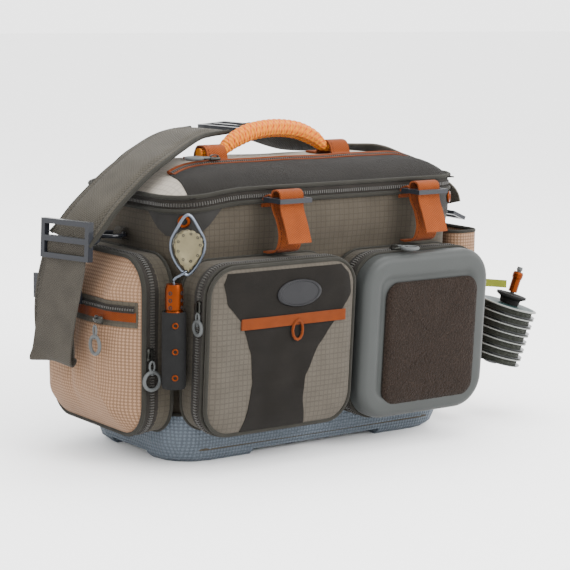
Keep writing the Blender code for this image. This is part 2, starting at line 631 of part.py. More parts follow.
GRANDCHILD_PIVOTS = {
    "sleeve": ("tube", (*TOOL_XY, 0.1430)),
    "lid_pull": ("lid_slider", (-0.0925, -0.0300, LID_TOP + 0.0060)),
    "mesh_pull": ("mesh_slider", (-0.2175, -0.0450, 0.1260)),
    "edge_pull": ("edge_slider", (-0.1850, -0.0855, 0.0980)),
    "front_pull": ("front_slider", (-0.1588, -0.1155, 0.1420)),
    "eva_pull": ("eva_slider", (0.0600, -0.1150, POCKET_TOP + 0.0030)),
}


def build():
    clear_scene()
    origin = empty("bag_origin", (0, 0, 0))
    origin.location = FRAME_SHIFT
    pivots = {name: empty(f"pivot_{name}", place, origin) for name, place in PIVOTS.items()}
    for table in (CHILD_PIVOTS, GRANDCHILD_PIVOTS):
        for name, (parent, place) in table.items():
            pivots[name] = empty(f"pivot_{name}", place, pivots[parent])
    for k in range(SPOOL_COUNT):
        place = SPOOL_BASE + SPOOL_AXIS * (SPOOL_PITCH * k + SPOOL_H / 2)
        pivots[f"spool_{k + 1}"] = empty(f"pivot_spool_{k + 1}", place, origin)

    base_tray(origin)
    main_body(origin)
    lid(pivots["lid"])
    handle(pivots["handle"])
    front_pocket(origin, pivots["front_door"])
    moulded_pocket(origin, pivots["eva_door"])
    left_pocket(origin)
    slip_pockets(origin)
    for side in (-1, 1):
        strap_end(side, origin)
    shoulder_strap(origin, pivots["lid"])
    for name, x in STRAP_X.items():
        compression_strap(name, x, pivots[f"strap_{name}"])
    hanging_tool(pivots["reel"], pivots["tube"], pivots["sleeve"])
    spool_stack(origin, [pivots[f"spool_{k + 1}"] for k in range(SPOOL_COUNT)])

    tracks = {"main_slider": (Y, -X), "lid_slider": (X, Z), "edge_slider": (Z, -Y), "front_slider": (Z, -X),
              "eva_slider": (X, Z), "mesh_slider": (Y, -X)}
    for name, (along, outward) in tracks.items():
        slider(name, Vector(pivots[name]["bag_location"]), along, outward, pivots[name])
    pulls = {"lid_pull": (-X, Y, 0.022), "mesh_pull": (-Z, Y, 0.024), "edge_pull": (-Z, X, 0.024),
             "front_pull": (-Z, Y, 0.018), "eva_pull": (-Y, X, 0.022)}
    for name, (down, side, length) in pulls.items():
        pull_loop(name, Vector(pivots[name]["bag_location"]), down, side, length, pivots[name])


build()
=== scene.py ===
"""The looks of a soft fishing gear bag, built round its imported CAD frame.

Shapes are written in bag coordinates: the middle of the fabric case is x 0, y 0, the feet stand on z 0 and
the front faces -Y. SHIFT takes them to the row frame, and every piece is moved by it once, when it is made.
"""

import math

import bmesh
import bpy
from mathutils import Matrix, Quaternion, Vector, noise


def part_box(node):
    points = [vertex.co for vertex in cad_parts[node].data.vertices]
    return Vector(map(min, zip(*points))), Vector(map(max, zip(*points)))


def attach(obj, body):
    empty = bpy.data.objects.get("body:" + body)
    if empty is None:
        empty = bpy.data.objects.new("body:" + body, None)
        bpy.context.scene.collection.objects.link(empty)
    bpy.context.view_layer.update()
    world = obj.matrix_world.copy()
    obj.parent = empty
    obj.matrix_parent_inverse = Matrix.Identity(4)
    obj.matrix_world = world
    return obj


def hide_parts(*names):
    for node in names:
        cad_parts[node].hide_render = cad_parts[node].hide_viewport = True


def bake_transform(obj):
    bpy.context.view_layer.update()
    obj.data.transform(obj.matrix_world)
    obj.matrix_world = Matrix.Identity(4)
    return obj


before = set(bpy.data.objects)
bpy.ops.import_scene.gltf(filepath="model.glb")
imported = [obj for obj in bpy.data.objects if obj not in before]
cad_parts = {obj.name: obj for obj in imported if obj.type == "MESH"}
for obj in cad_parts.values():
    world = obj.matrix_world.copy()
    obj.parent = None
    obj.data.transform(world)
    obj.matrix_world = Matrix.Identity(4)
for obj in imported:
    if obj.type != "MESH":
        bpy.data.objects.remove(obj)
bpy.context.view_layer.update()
X, Y, Z = Vector((1, 0, 0)), Vector((0, 1, 0)), Vector((0, 0, 1))

# ---- sizes read from the frame ----
_low, _high = (Vector(corner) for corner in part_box("main_shell"))
SHIFT = Vector(((_low.x + _high.x) / 2, (_low.y + _high.y) / 2, 0.0))


def box(node):
    """Lowest and highest corner of a CAD node, in bag coordinates."""
    low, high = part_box(node)
    return Vector(low) - SHIFT, Vector(high) - SHIFT


SHELL_LOW, SHELL_HIGH = box("main_shell")
ZIP_LOW, ZIP_HIGH = box("main_zip_tape")
LID_LOW, LID_HIGH = box("lid_panel")
FRONT_LOW, FRONT_HIGH = box("front_pocket_gusset")
EVA_LOW, EVA_HIGH = box("eva_pocket_gusset")
LEFT_LOW, LEFT_HIGH = box("left_pocket_gusset")
MESH_LOW, MESH_HIGH = box("left_pocket_panel")
RIGHT_LOW, RIGHT_HIGH = box("right_pocket")
REAR_LOW, REAR_HIGH = box("rear_pocket")
TRAY_LOW, TRAY_HIGH = box("base_tray")

# ---- driving dimensions, metres ----
BODY_R = 0.036  # plan radius of the case's corners
WALL = 0.003
POCKET_R = 0.026
EVA_R = 0.030
LEAN = 0.05  # how much the front pockets lean outward with height
STRAP_WIDTH = 0.046
PAD_HALF, PAD_THICK = 0.0265, 0.0042
REEL_HOLE_R = 0.0098  # circle of small holes in the reel
NET_PITCH, STUD_PITCH = 0.0058, 0.0066
LID_SHOULDER = 0.052  # how far in from its rim the lid rises
RIM_SAG, SAG_START, SAG_FLOOR = 0.006, 0.090, 0.195  # drop, where along X it starts, and above which height
ACROSS = Vector((0.29, -0.957, 0.0))  # width direction of the hanging shoulder strap
CAMERA_AZIMUTH, CAMERA_ELEVATION, CAMERA_ROLL = -36.1, 9.0, 0.84  # degrees
CAMERA_DISTANCE = 1.8
CAMERA_TARGET = Vector((0.016, 0.0, 0.137))
CAMERA_LENS = 120.3


# ---- materials ----
class Shader:
    """A Principled material and short names for making the nodes behind it."""

    def __init__(self, name, colour, roughness=0.8, metallic=0.0, sheen=0.0, coat=0.0, specular=0.06):
        self.material = bpy.data.materials.new(name)
        self.material.use_nodes = True
        self.tree = self.material.node_tree
        self.surface = self.tree.nodes["Principled BSDF"]
        self.surface.inputs["Base Color"].default_value = (*colour, 1.0)
        self.surface.inputs["Roughness"].default_value = roughness
        self.surface.inputs["Metallic"].default_value = metallic
        self.surface.inputs["Specular IOR Level"].default_value = specular
        self.surface.inputs["Sheen Weight"].default_value = sheen
        self.surface.inputs["Coat Weight"].default_value = coat
        self.colour = (*colour, 1.0)

    def node(self, kind, **settings):
        made = self.tree.nodes.new(kind)
        for key, value in settings.items():
            setattr(made, key, value)
        return made

    def feed(self, socket, value):
        if isinstance(value, (int, float, tuple)):
            socket.default_value = value
        else:
            self.tree.links.new(value, socket)

    def math(self, operation, a, b=0.0, c=0.0):
        made = self.node("ShaderNodeMath", operation=operation)
        for socket, value in zip(made.inputs, (a, b, c)):
            self.feed(socket, value)
        return made.outputs[0]

    def mix(self, factor, a, b):
        made = self.node("ShaderNodeMix", data_type="RGBA")
        self.feed(made.inputs["Factor"], factor)
        self.feed(made.inputs["A"], a)
        self.feed(made.inputs["B"], b)
        return made.outputs["Result"]

    def noise(self, scale, detail=3.0):
        where = self.node("ShaderNodeTexCoord").outputs["Object"]
        made = self.node("ShaderNodeTexNoise")
        self.feed(made.inputs["Vector"], where)
        self.feed(made.inputs["Scale"], float(scale))
        self.feed(made.inputs["Detail"], detail)
        return made.outputs["Fac"]

    def surface_pair(self):
        """Two coordinates, in metres, that run along whichever way the surface faces."""
        where = self.node("ShaderNodeTexCoord")
        place, normal = self.node("ShaderNodeSeparateXYZ"), self.node("ShaderNodeSeparateXYZ")
        self.feed(place.inputs[0], where.outputs["Object"])
        self.feed(normal.inputs[0], where.outputs["Normal"])
        faces_end = self.math("GREATER_THAN", self.math("ABSOLUTE", normal.outputs["X"]), 0.7)
        faces_up = self.math("GREATER_THAN", self.math("ABSOLUTE", normal.outputs["Z"]), 0.7)
        x, y, z = place.outputs
        u = self.math("ADD", self.math("MULTIPLY", y, faces_end),
                      self.math("MULTIPLY", x, self.math("SUBTRACT", 1.0, faces_end)))
        v = self.math("ADD", self.math("MULTIPLY", y, faces_up),
                      self.math("MULTIPLY", z, self.math("SUBTRACT", 1.0, faces_up)))
        return u, v

    def along_pair(self):
        """The two UV coordinates of a swept piece, in metres: round its section and along its path."""
        parts = self.node("ShaderNodeSeparateXYZ")
        self.feed(parts.inputs[0], self.node("ShaderNodeTexCoord").outputs["UV"])
        return parts.outputs["X"], parts.outputs["Y"]

    def wave(self, value, pitch):
        return self.math("SINE", self.math("MULTIPLY", value, 2 * math.pi / pitch))

    def diamonds(self, u, v, pitch):
        """Waves along both diagonals, multiplied: high in a lattice of diamond cells."""
        rising = self.wave(self.math("ADD", u, v), pitch)
        falling = self.wave(self.math("SUBTRACT", u, v), pitch)
        return self.math("MULTIPLY", rising, falling)

    def line(self, value, pitch, width):
        """1 on thin lines that repeat at a pitch."""
        return self.math("LESS_THAN", self.math("PINGPONG", value, pitch / 2), width / 2)

    def tint(self, factor, dark=0.75, light=1.2):
        """Sets the base colour to vary with a factor about the material's own colour."""
        low = tuple(c * dark for c in self.colour[:3]) + (1.0,)
        high = tuple(min(1.0, c * light) for c in self.colour[:3]) + (1.0,)
        colour = self.mix(factor, low, high)
        self.feed(self.surface.inputs["Base Color"], colour)
        return colour

    def bump(self, height, distance, strength=1.0):
        made = self.node("ShaderNodeBump")
        self.feed(made.inputs["Height"], height)
        self.feed(made.inputs["Distance"], distance)
        self.feed(made.inputs["Strength"], strength)
        self.feed(self.surface.inputs["Normal"], made.outputs["Normal"])


def ripstop(name, colour, grid=0.0052, thread=0.0011):
    s = Shader(name, colour, 0.85, sheen=0.04)
    u, v = s.surface_pair()
    rib = s.math("MAXIMUM", s.line(u, grid, 0.0010), s.line(v, grid, 0.0010))
    weave = s.math("MULTIPLY", s.wave(u, thread), s.wave(v, thread))
    mottle = s.noise(55)
    base = s.tint(mottle, 0.78, 1.22)
    darker = s.mix(s.math("MULTIPLY", rib, 0.35), base, tuple(c * 0.5 for c in colour) + (1.0,))
    s.feed(s.surface.inputs["Base Color"], darker)
    s.bump(s.math("ADD", s.math("MULTIPLY", weave, 0.25), rib), 0.0004, 0.7)
    return s.material


def twill(name, colour, pitch=0.0016):
    s = Shader(name, colour, 0.9, sheen=0.04)
    u, v = s.surface_pair()
    rows = s.wave(s.math("ADD", u, v), pitch)
    s.tint(s.math("MULTIPLY_ADD", rows, 0.25, s.noise(70)), 0.75, 1.3)
    s.bump(s.math("MULTIPLY", rows, s.wave(v, pitch / 2)), 0.0003, 0.6)
    return s.material


def webbing(name, colour, edge=0.0, half_width=0.0, pitch=0.0021):
    """Ribbed woven tape; a stitch line runs near each edge where edge is given."""
    s = Shader(name, colour, 0.82, sheen=0.04)
    u, v = s.along_pair()
    ribs = s.math("MULTIPLY", s.wave(v, pitch), s.wave(u, 0.0028))
    tone = s.math("MULTIPLY_ADD", ribs, 0.22, s.noise(60))
    base = s.tint(tone, 0.7, 1.3)
    height = ribs
    if edge:
        close = s.math("COMPARE", u, half_width - edge, 0.0006)
        far = s.math("COMPARE", u, half_width + edge, 0.0006)
        dash = s.math("LESS_THAN", s.math("PINGPONG", v, 0.0022), 0.0015)
        thread = s.math("MULTIPLY", s.math("MAXIMUM", close, far), dash)
        base = s.mix(s.math("MULTIPLY", thread, 0.7), base, tuple(c * 0.35 for c in colour) + (1.0,))
        s.feed(s.surface.inputs["Base Color"], base)
        height = s.math("SUBTRACT", ribs, thread)
    s.bump(height, 0.0004, 0.7)
    return s.material


def net(name, colour, hole):
    """Sports mesh: rows of small holes that show the lining."""
    s = Shader(name, colour, 0.8, sheen=0.04)
    u, v = s.surface_pair()
    cells = s.diamonds(u, v, NET_PITCH)
    open_cell = s.math("GREATER_THAN", cells, 0.10)
    base = s.tint(s.noise(25), 0.75, 1.2)
    s.feed(s.surface.inputs["Base Color"], s.mix(open_cell, base, (*hole, 1.0)))
    s.bump(s.math("MULTIPLY", open_cell, -1.0), 0.0006, 0.8)
    return s.material


def moulded(name, colour, roughness=0.5, grain=900, depth=0.00015, coat=0.0):
    s = Shader(name, colour, roughness, coat=coat, specular=0.18)
    s.tint(s.noise(30), 0.85, 1.15)
    wear = s.math("MULTIPLY_ADD", s.noise(120), 0.2, roughness - 0.1)
    s.feed(s.surface.inputs["Roughness"], wear)
    s.bump(s.noise(grain), depth, 0.6)
    return s.material


def dimpled_rubber(name, colour):
    s = Shader(name, colour, 0.5)
    u, v = s.surface_pair()
    cells = s.diamonds(u, v, STUD_PITCH)
    # The raised stud tops are painted lighter and the hollows between them darker. This is painted light and
    # painted shade that follow the bump, not a second colour of rubber.
    lit_stud_tops = s.math("GREATER_THAN", cells, 0.15)
    s.tint(s.math("MULTIPLY_ADD", lit_stud_tops, 0.55, s.math("MULTIPLY", s.noise(40), 0.45)), 0.62, 1.3)
    s.bump(s.math("MULTIPLY", cells, 0.8), 0.0009, 0.8)
    return s.material


def fleece(name, colour):
    s = Shader(name, colour, 1.0, sheen=0.03)
    speck = s.math("POWER", s.noise(850, 2.0), 2.0)
    s.tint(s.math("MULTIPLY_ADD", speck, 1.4, s.math("MULTIPLY", s.noise(60), 0.2)), 0.30, 1.9)
    s.bump(s.noise(600, 4.0), 0.0022, 1.0)
    return s.material


def metal(name, colour, roughness=0.32, grain=500):
    s = Shader(name, colour, roughness, metallic=0.85)
    s.feed(s.surface.inputs["Roughness"], s.math("MULTIPLY_ADD", s.noise(grain), 0.2, roughness - 0.1))
    s.tint(s.noise(90), 0.8, 1.2)
    s.bump(s.noise(grain * 2), 0.00005, 0.4)
    return s.material


def zip_chain(name, colour):
    """Coil teeth along a swept strip."""
    s = Shader(name, colour, 0.6, sheen=0.1)
    v = s.along_pair()[1]
    teeth = s.wave(v, 0.0024)
    # The colour follows the tooth wave: each crown is painted lighter (painted highlight) and each gap
    # darker (painted shade).
    s.tint(s.math("MULTIPLY_ADD", teeth, 0.4, 0.45), 0.35, 1.9)
    s.bump(teeth, 0.0008, 0.9)
    return s.material


def braid(name):
    s = Shader(name, (0.44, 0.13, 0.012), 0.78, sheen=0.04)
    u, v = s.along_pair()
    one = s.wave(s.math("ADD", v, u), 0.0062)
    two = s.wave(s.math("SUBTRACT", v, u), 0.0062)
    over = s.math("GREATER_THAN", s.math("MULTIPLY", one, two), 0.0)
    yellow = s.mix(s.math("GREATER_THAN", one, 0.75), (0.50, 0.16, 0.010, 1), (0.40, 0.055, 0.010, 1))
    s.feed(s.surface.inputs["Base Color"],
           s.mix(s.math("MULTIPLY", over, 0.75), yellow, (0.42, 0.105, 0.008, 1)))
    s.bump(s.math("MULTIPLY", one, two), 0.0009, 0.8)
    return s.material


M = {
    "khaki": ripstop("khaki_ripstop", (0.043, 0.036, 0.027)),
    "tan": ripstop("tan_ripstop", (0.053, 0.046, 0.037), grid=0.0046),
    "gusset": ripstop("gusset_ripstop", (0.043, 0.037, 0.028)),
    "brown": twill("brown_twill", (0.006, 0.005, 0.004)),
    "beige": ripstop("beige_ripstop", (0.241, 0.216, 0.181)),
    "lining": twill("dark_lining", (0.019, 0.018, 0.017)),
    "orange": webbing("orange_webbing", (0.130, 0.028, 0.005), edge=0.0100, half_width=0.0123),
    "orange_trim": twill("orange_trim", (0.093, 0.019, 0.003)),
    "olive": webbing("olive_webbing", (0.036, 0.032, 0.026), edge=0.0195, half_width=0.022),
    "binding": twill("olive_binding", (0.018, 0.017, 0.014)),
    "mesh": net("peach_mesh", (0.124, 0.073, 0.043), (0.204, 0.124, 0.078)),
    "base": dimpled_rubber("moulded_base", (0.081, 0.096, 0.114)),
    "eva": moulded("moulded_foam", (0.025, 0.027, 0.026), 0.48, 700),
    "fleece": fleece("fleece_pile", (0.012, 0.008, 0.006)),
    "tape": twill("zip_tape", (0.016, 0.014, 0.012)),
    "chain": zip_chain("zip_coil", (0.022, 0.020, 0.017)),
    "plastic": moulded("slate_plastic", (0.009, 0.010, 0.013), 0.38, 500, coat=0.15),
    "gunmetal": metal("gunmetal", (0.029, 0.029, 0.026)),
    "pull": moulded("grey_rubber_cord", (0.053, 0.056, 0.056), 0.55, 1200),
    "gold": metal("gold_plate", (0.110, 0.096, 0.059), 0.42),
    "steel": metal("steel_clip", (0.087, 0.099, 0.122), 0.3),
    "anodised": metal("orange_anodised", (0.097, 0.019, 0.003), 0.34),
    "foam": moulded("black_foam", (0.004, 0.004, 0.004), 0.85, 1500, 0.0004),
    "spool": moulded("black_spool", (0.005, 0.006, 0.006), 0.35, 400, coat=0.2),
    "white": moulded("white_spool_edge", (0.130, 0.133, 0.126), 0.45, 400),
    "teal": moulded("teal_label", (0.007, 0.020, 0.020), 0.5, 300),
    "line": webbing("wound_line", (0.030, 0.032, 0.026), pitch=0.0006),
    "lime": twill("lime_webbing", (0.122, 0.134, 0.018)),
    "padding": webbing("padding_cloth", (0.037, 0.033, 0.026), edge=0.0210, half_width=0.0265, pitch=0.0034),
    "rope": braid("braided_rope"),
    "badge": moulded("badge_rubber", (0.005, 0.005, 0.006), 0.4, 500),
    "floor": Shader("floor", (0.90, 0.90, 0.90), 0.9).material,
}


def sag(point):
    """How far the soft rim hangs down at the left end."""
    t = min(1.0, max(0.0, (-point.x - SAG_START) / (SHELL_HIGH.x - SAG_START)))
    above = min(1.0, max(0.0, (point.z - SAG_FLOOR) / 0.020))
    return RIM_SAG * t * t * (3 - 2 * t) * above


def sagged(point):
    return point - Z * sag(point)


# ---- mesh helpers ----
def finish_mesh(name, mesh, material, body, nodes=(), angle=40):
    """Moves a mesh to the row frame and makes it a piece.

    body is a body's name, or (a, b, start, end) for a piece that spans two bodies; such a piece is baked in
    place and left unparented, and a, b, start and end are not used.
    """
    mesh.transform(Matrix.Translation(SHIFT))
    piece = bpy.data.objects.new(name, mesh)
    bpy.context.scene.collection.objects.link(piece)
    for m in material if isinstance(material, list) else [material]:
        mesh.materials.append(M[m])
    mesh.shade_smooth()
    mesh.set_sharp_from_angle(angle=math.radians(angle))
    if isinstance(body, tuple):
        first, second, start, end = body
        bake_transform(piece)
    else:
        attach(piece, body)
    if nodes:
        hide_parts(*nodes)
    return piece


def skin(name, rings, closed=False, caps=True):
    """A mesh over rings of equally many points, with UV in metres: round the ring, then along the rings."""
    mesh = bpy.data.meshes.new(name)
    work = bmesh.new()
    uv = work.loops.layers.uv.new("UVMap")
    made = [[work.verts.new(p) for p in ring] for ring in rings]
    count = len(rings[0])
    round_length = [0.0]
    for i in range(count):
        round_length.append(round_length[-1] + (rings[0][(i + 1) % count] - rings[0][i]).length)
    along = [0.0]
    for low, high in zip(rings, rings[1:] + rings[:1]):
        along.append(along[-1] + (sum(high, Vector()) - sum(low, Vector())).length / count)
    spans = len(rings) if closed else len(rings) - 1
    for k in range(spans):
        low, high = made[k], made[(k + 1) % len(rings)]
        for i in range(count):
            j = (i + 1) % count
            face = work.faces.new((low[i], low[j], high[j], high[i]))
            corners = ((i, k), (i + 1, k), (i + 1, k + 1), (i, k + 1))
            for loop, (a, b) in zip(face.loops, corners):
                loop[uv].uv = (round_length[a], along[b])
    if caps and not closed:
        work.faces.new(list(reversed(made[0])))
        work.faces.new(made[-1])
    bmesh.ops.recalc_face_normals(work, faces=work.faces)
    work.to_mesh(mesh)
    work.free()
    return mesh


def paint(piece, chooser):
    """Gives each face the material slot that chooser picks from its centre (bag coordinates) and normal."""
    for face in piece.data.polygons:
        face.material_index = chooser(face.center - SHIFT, face.normal)


def soften(piece, width, segments=2):
    modifier = piece.modifiers.new("edges", "BEVEL")
    modifier.width = width
    modifier.segments = segments
    modifier.limit_method = "ANGLE"
    return piece


def outline(half_u, half_v, radius, arc=6, straight=10):
    """Points of a rounded rectangle, with its straight sides divided too."""
    corners = []
    for corner, (su, sv) in enumerate(((1, 1), (-1, 1), (-1, -1), (1, -1))):
        for k in range(arc + 1):
            angle = math.pi / 2 * (corner + k / arc)
            corners.append(Vector((su * (half_u - radius) + radius * math.cos(angle),
                                   sv * (half_v - radius) + radius * math.sin(angle))))
    points = []
    for corner in range(4):
        arc_points = corners[corner * (arc + 1):(corner + 1) * (arc + 1)]
        points += arc_points
        last, following = arc_points[-1], corners[((corner + 1) * (arc + 1)) % len(corners)]
        points += [last.lerp(following, k / straight) for k in range(1, straight)]
    return points


def inside(u, v, half_u, half_v, radius):
    """How far a point lies inside a rounded rectangle's edge."""
    a, b = abs(u) - (half_u - radius), abs(v) - (half_v - radius)
    outside = math.hypot(max(a, 0.0), max(b, 0.0))
    return radius - outside - min(max(a, b), 0.0)


def crumple(point, scale, amount, seed=0.0):
    """Smooth, repeatable unevenness of cloth."""
    return amount * noise.noise(Vector(point) * scale + Vector((seed, 2 * seed, 3 * seed)))


def smooth_path(points, per_span=6):
    ends = [2 * points[0] - points[1], *points, 2 * points[-1] - points[-2]]
    path = []
    for i in range(1, len(ends) - 2):
        a, b, c, d = ends[i - 1:i + 3]
        for k in range(per_span):
            t = k / per_span
            path.append(0.5 * (2 * b + (c - a) * t + (2 * a - 5 * b + 4 * c - d) * t**2
                               + (3 * b - a - 3 * c + d) * t**3))
    return path + [points[-1]]


def tangents(path, closed=False):
    last = len(path) - 1
    found = []
    for i in range(len(path)):
        ahead = path[(i + 1) % len(path)] if closed else path[min(i + 1, last)]
        behind = path[i - 1] if closed else path[max(i - 1, 0)]
        found.append((ahead - behind).normalized())
    return found


def sweep(name, path, ups, profile, closed=False):
    """A section that follows a path.

    profile lists (sideways, up). ups is one direction, or one for each point.
    """
    ups = ups if isinstance(ups, list) else [ups] * len(path)
    rings = []
    for point, tangent, up in zip(path, tangents(path, closed), ups):
        up = (up - tangent * up.dot(tangent)).normalized()
        side = tangent.cross(up)
        rings.append([point + side * u + up * v for u, v in profile])
    return skin(name, rings, closed)


def tape_profile(width, thickness, crown=0.0, parts=8):
    """A flat strip's section with a slightly crowned top, starting from one edge of the top."""
    top = []
    for k in range(parts + 1):
        t = 2 * k / parts - 1
        top.append((t * width / 2, thickness / 2 + crown * (1 - t * t)))
    bottom = [(-u, -v) for u, v in top]
    return top + bottom


def round_profile(radius_u, radius_v, sides=10):
    return [(radius_u * math.cos(a),
             radius_v * math.sin(a)) for a in (2 * math.pi * k / sides for k in range(sides))]


def strip(name, path, sides, width, thickness, material, body, nodes=(), crown=0.0, parts=8):
    """Webbing along a path; sides is its width direction, or one for each point."""
    sides = sides if isinstance(sides, list) else [sides] * len(path)
    ups = [side.cross(tangent) for side, tangent in zip(sides, tangents(path))]
    mesh = sweep(name, path, ups, tape_profile(width, thickness, crown, parts))
    return finish_mesh(name, mesh, material, body, nodes)


def tube(name, path, radius, material, body, closed=False, up=Z, sides=8, nodes=()):
    mesh = sweep(name, path, up, round_profile(radius, radius, sides), closed)
    return finish_mesh(name, mesh, material, body, nodes)


def turned(name, base, axis, profile, material, body, nodes=(), sides=40, looped=False):
    """A turned shape; profile lists (radius, height) or (radius, height, material slot of its band)."""
    first = axis.orthogonal().normalized()
    second = axis.cross(first)
    rings = []
    for point in profile:
        rings.append([base + axis * point[1] + point[0] * (math.cos(a) * first + math.sin(a) * second)
                      for a in (2 * math.pi * k / sides for k in range(sides))])
    mesh = skin(name, rings, looped)
    piece = finish_mesh(name, mesh, material, body, nodes)
    if len(profile[0]) > 2:
        for index, face in enumerate(mesh.polygons):
            band = index // sides
            if band < len(profile):
                face.material_index = profile[band][2]
    return piece


def patch(name, surface, u_range, v_range, lift, material, body, steps=(24, 24), nodes=()):
    """A thin cloth patch on a surface.

    surface(u, v) gives a point and its outward direction. u_range is a function of v.
    """
    rows = []
    for j in range(steps[1] + 1):
        v = v_range[0] + (v_range[1] - v_range[0]) * j / steps[1]
        start, end = u_range(v)
        rows.append([surface(start + (end - start) * i / steps[0], v) for i in range(steps[0] + 1)])
    work = bmesh.new()
    uv = work.loops.layers.uv.new("UVMap")
    top = [[work.verts.new(p + n * lift) for p, n in row] for row in rows]
    under = [[work.verts.new(p - n * 0.0004) for p, n in row] for row in rows]

    def quad(a, b, c, d):
        face = work.faces.new((a, b, c, d))
        for loop in face.loops:
            loop[uv].uv = (loop.vert.co.x + loop.vert.co.y, loop.vert.co.z)

    for j in range(steps[1]):
        for i in range(steps[0]):
            quad(top[j][i], top[j][i + 1], top[j + 1][i + 1], top[j + 1][i])
            quad(under[j + 1][i], under[j + 1][i + 1], under[j][i + 1], under[j][i])
    for i in range(steps[0]):
        quad(under[0][i], under[0][i + 1], top[0][i + 1], top[0][i])
        quad(top[-1][i], top[-1][i + 1], under[-1][i + 1], under[-1][i])
    for j in range(steps[1]):
        quad(under[j + 1][0], under[j][0], top[j][0], top[j + 1][0])
        quad(under[j][-1], under[j + 1][-1], top[j + 1][-1], top[j][-1])
    bmesh.ops.recalc_face_normals(work, faces=work.faces)
    mesh = bpy.data.meshes.new(name)
    work.to_mesh(mesh)
    work.free()
    return finish_mesh(name, mesh, material, body, nodes, angle=50)


def between(table, value):
    """Linear interpolation in a short list of (value, result) pairs, in rising order."""
    for (v0, r0), (v1, r1) in zip(table, table[1:]):
        if value <= v1:
            t = max(0.0, (value - v0) / (v1 - v0))
            return r0 + (r1 - r0) * t
    return table[-1][1]


ZIP_PROFILE = [(-0.0075, 0.0), (-0.0075, 0.0007), (-0.0026, 0.0009), (-0.0020, 0.0020), (0.0020, 0.0020),
               (0.0026, 0.0009), (0.0075, 0.0007), (0.0075, 0.0)]


def zip_strip(name, path, ups, body, closed=False, scale=1.0, tape="tape"):
    """A zip: two flat tapes with a raised coil between them."""
    profile = [(u * scale, v) for u, v in ZIP_PROFILE]
    mesh = sweep(name, path, ups, profile, closed)
    piece = finish_mesh(name, mesh, [tape, "chain"], body)
    count = len(profile)
    for index, face in enumerate(mesh.polygons):
        if index % count in (2, 3, 4) and len(face.vertices) == 4:
            face.material_index = 1
    return piece


# ---- camera, light, floor ----
def camera():
    data = bpy.data.cameras.new("camera")
    data.lens = CAMERA_LENS
    data.sensor_width = 36.0
    data.clip_end = 20.0
    cam = bpy.data.objects.new("camera", data)
    bpy.context.scene.collection.objects.link(cam)
    a, e = math.radians(CAMERA_AZIMUTH), math.radians(CAMERA_ELEVATION)
    back = Vector((math.sin(a) * math.cos(e), -math.cos(a) * math.cos(e), math.sin(e)))
    cam.location = CAMERA_TARGET + SHIFT + back * CAMERA_DISTANCE
    cam.rotation_mode = "QUATERNION"
    cam.rotation_quaternion = (-back).to_track_quat("-Z", "Y") @ Quaternion(Z, math.radians(CAMERA_ROLL))
    bpy.context.scene.camera = cam


def area_light(name, location, size, power):
    data = bpy.data.lights.new(name, "AREA")
    data.size = size
    data.energy = power
    lamp = bpy.data.objects.new(name, data)
    lamp.location = location
    lamp.rotation_mode = "QUATERNION"
    lamp.rotation_quaternion = (Vector((0, 0, 0.12)) - Vector(location)).to_track_quat("-Z", "Y")
    bpy.context.scene.collection.objects.link(lamp)


def studio():
    world = bpy.data.worlds.new("studio")
    bpy.context.scene.world = world
    world.use_nodes = True
    sky = world.node_tree.nodes["Background"]
    sky.inputs["Color"].default_value = (1.0, 1.0, 1.0, 1.0)
    sky.inputs["Strength"].default_value = 3.2
    area_light("key", (0.5, -1.9, 1.3), 1.1, 60)
    area_light("top", (0.3, 0.2, 1.9), 1.5, 32)
    area_light("fill", (1.3, -1.0, 0.6), 1.0, 12)
    mesh = bpy.data.meshes.new("floor")
    reach = 12.0
    mesh.from_pydata([(-reach, -reach, 0), (reach, -reach, 0), (reach, reach, 0), (-reach, reach, 0)], [],
                     [(0, 1, 2, 3)])
    floor = bpy.data.objects.new("floor", mesh)
    mesh.materials.append(M["floor"])
    bpy.context.scene.collection.objects.link(floor)


# ---- the case ----
def plan(half_x, half_y, radius, z, swell=0.0, seed=0.0):
    """A level ring round the case; swell moves it along its own outward direction, with unevenness."""
    ring = []
    for p in outline(half_x, half_y, radius, arc=10, straight=26):
        point = Vector((p.x, p.y, z))
        out = Vector((p.x / half_x, p.y / half_y, 0.0)).normalized()
        folds = crumple(point, 26, seed * 0.0016, seed) + crumple((point.x, point.y, point.z * 0.4), 48,
                                                                  seed * 0.0012, 6.0)
        clear_of_tray = min(1.0, max(0.0, (z - TRAY_HIGH.z) / 0.020))
        ring.append(sagged(point + out * (swell + folds * clear_of_tray)))
    return ring


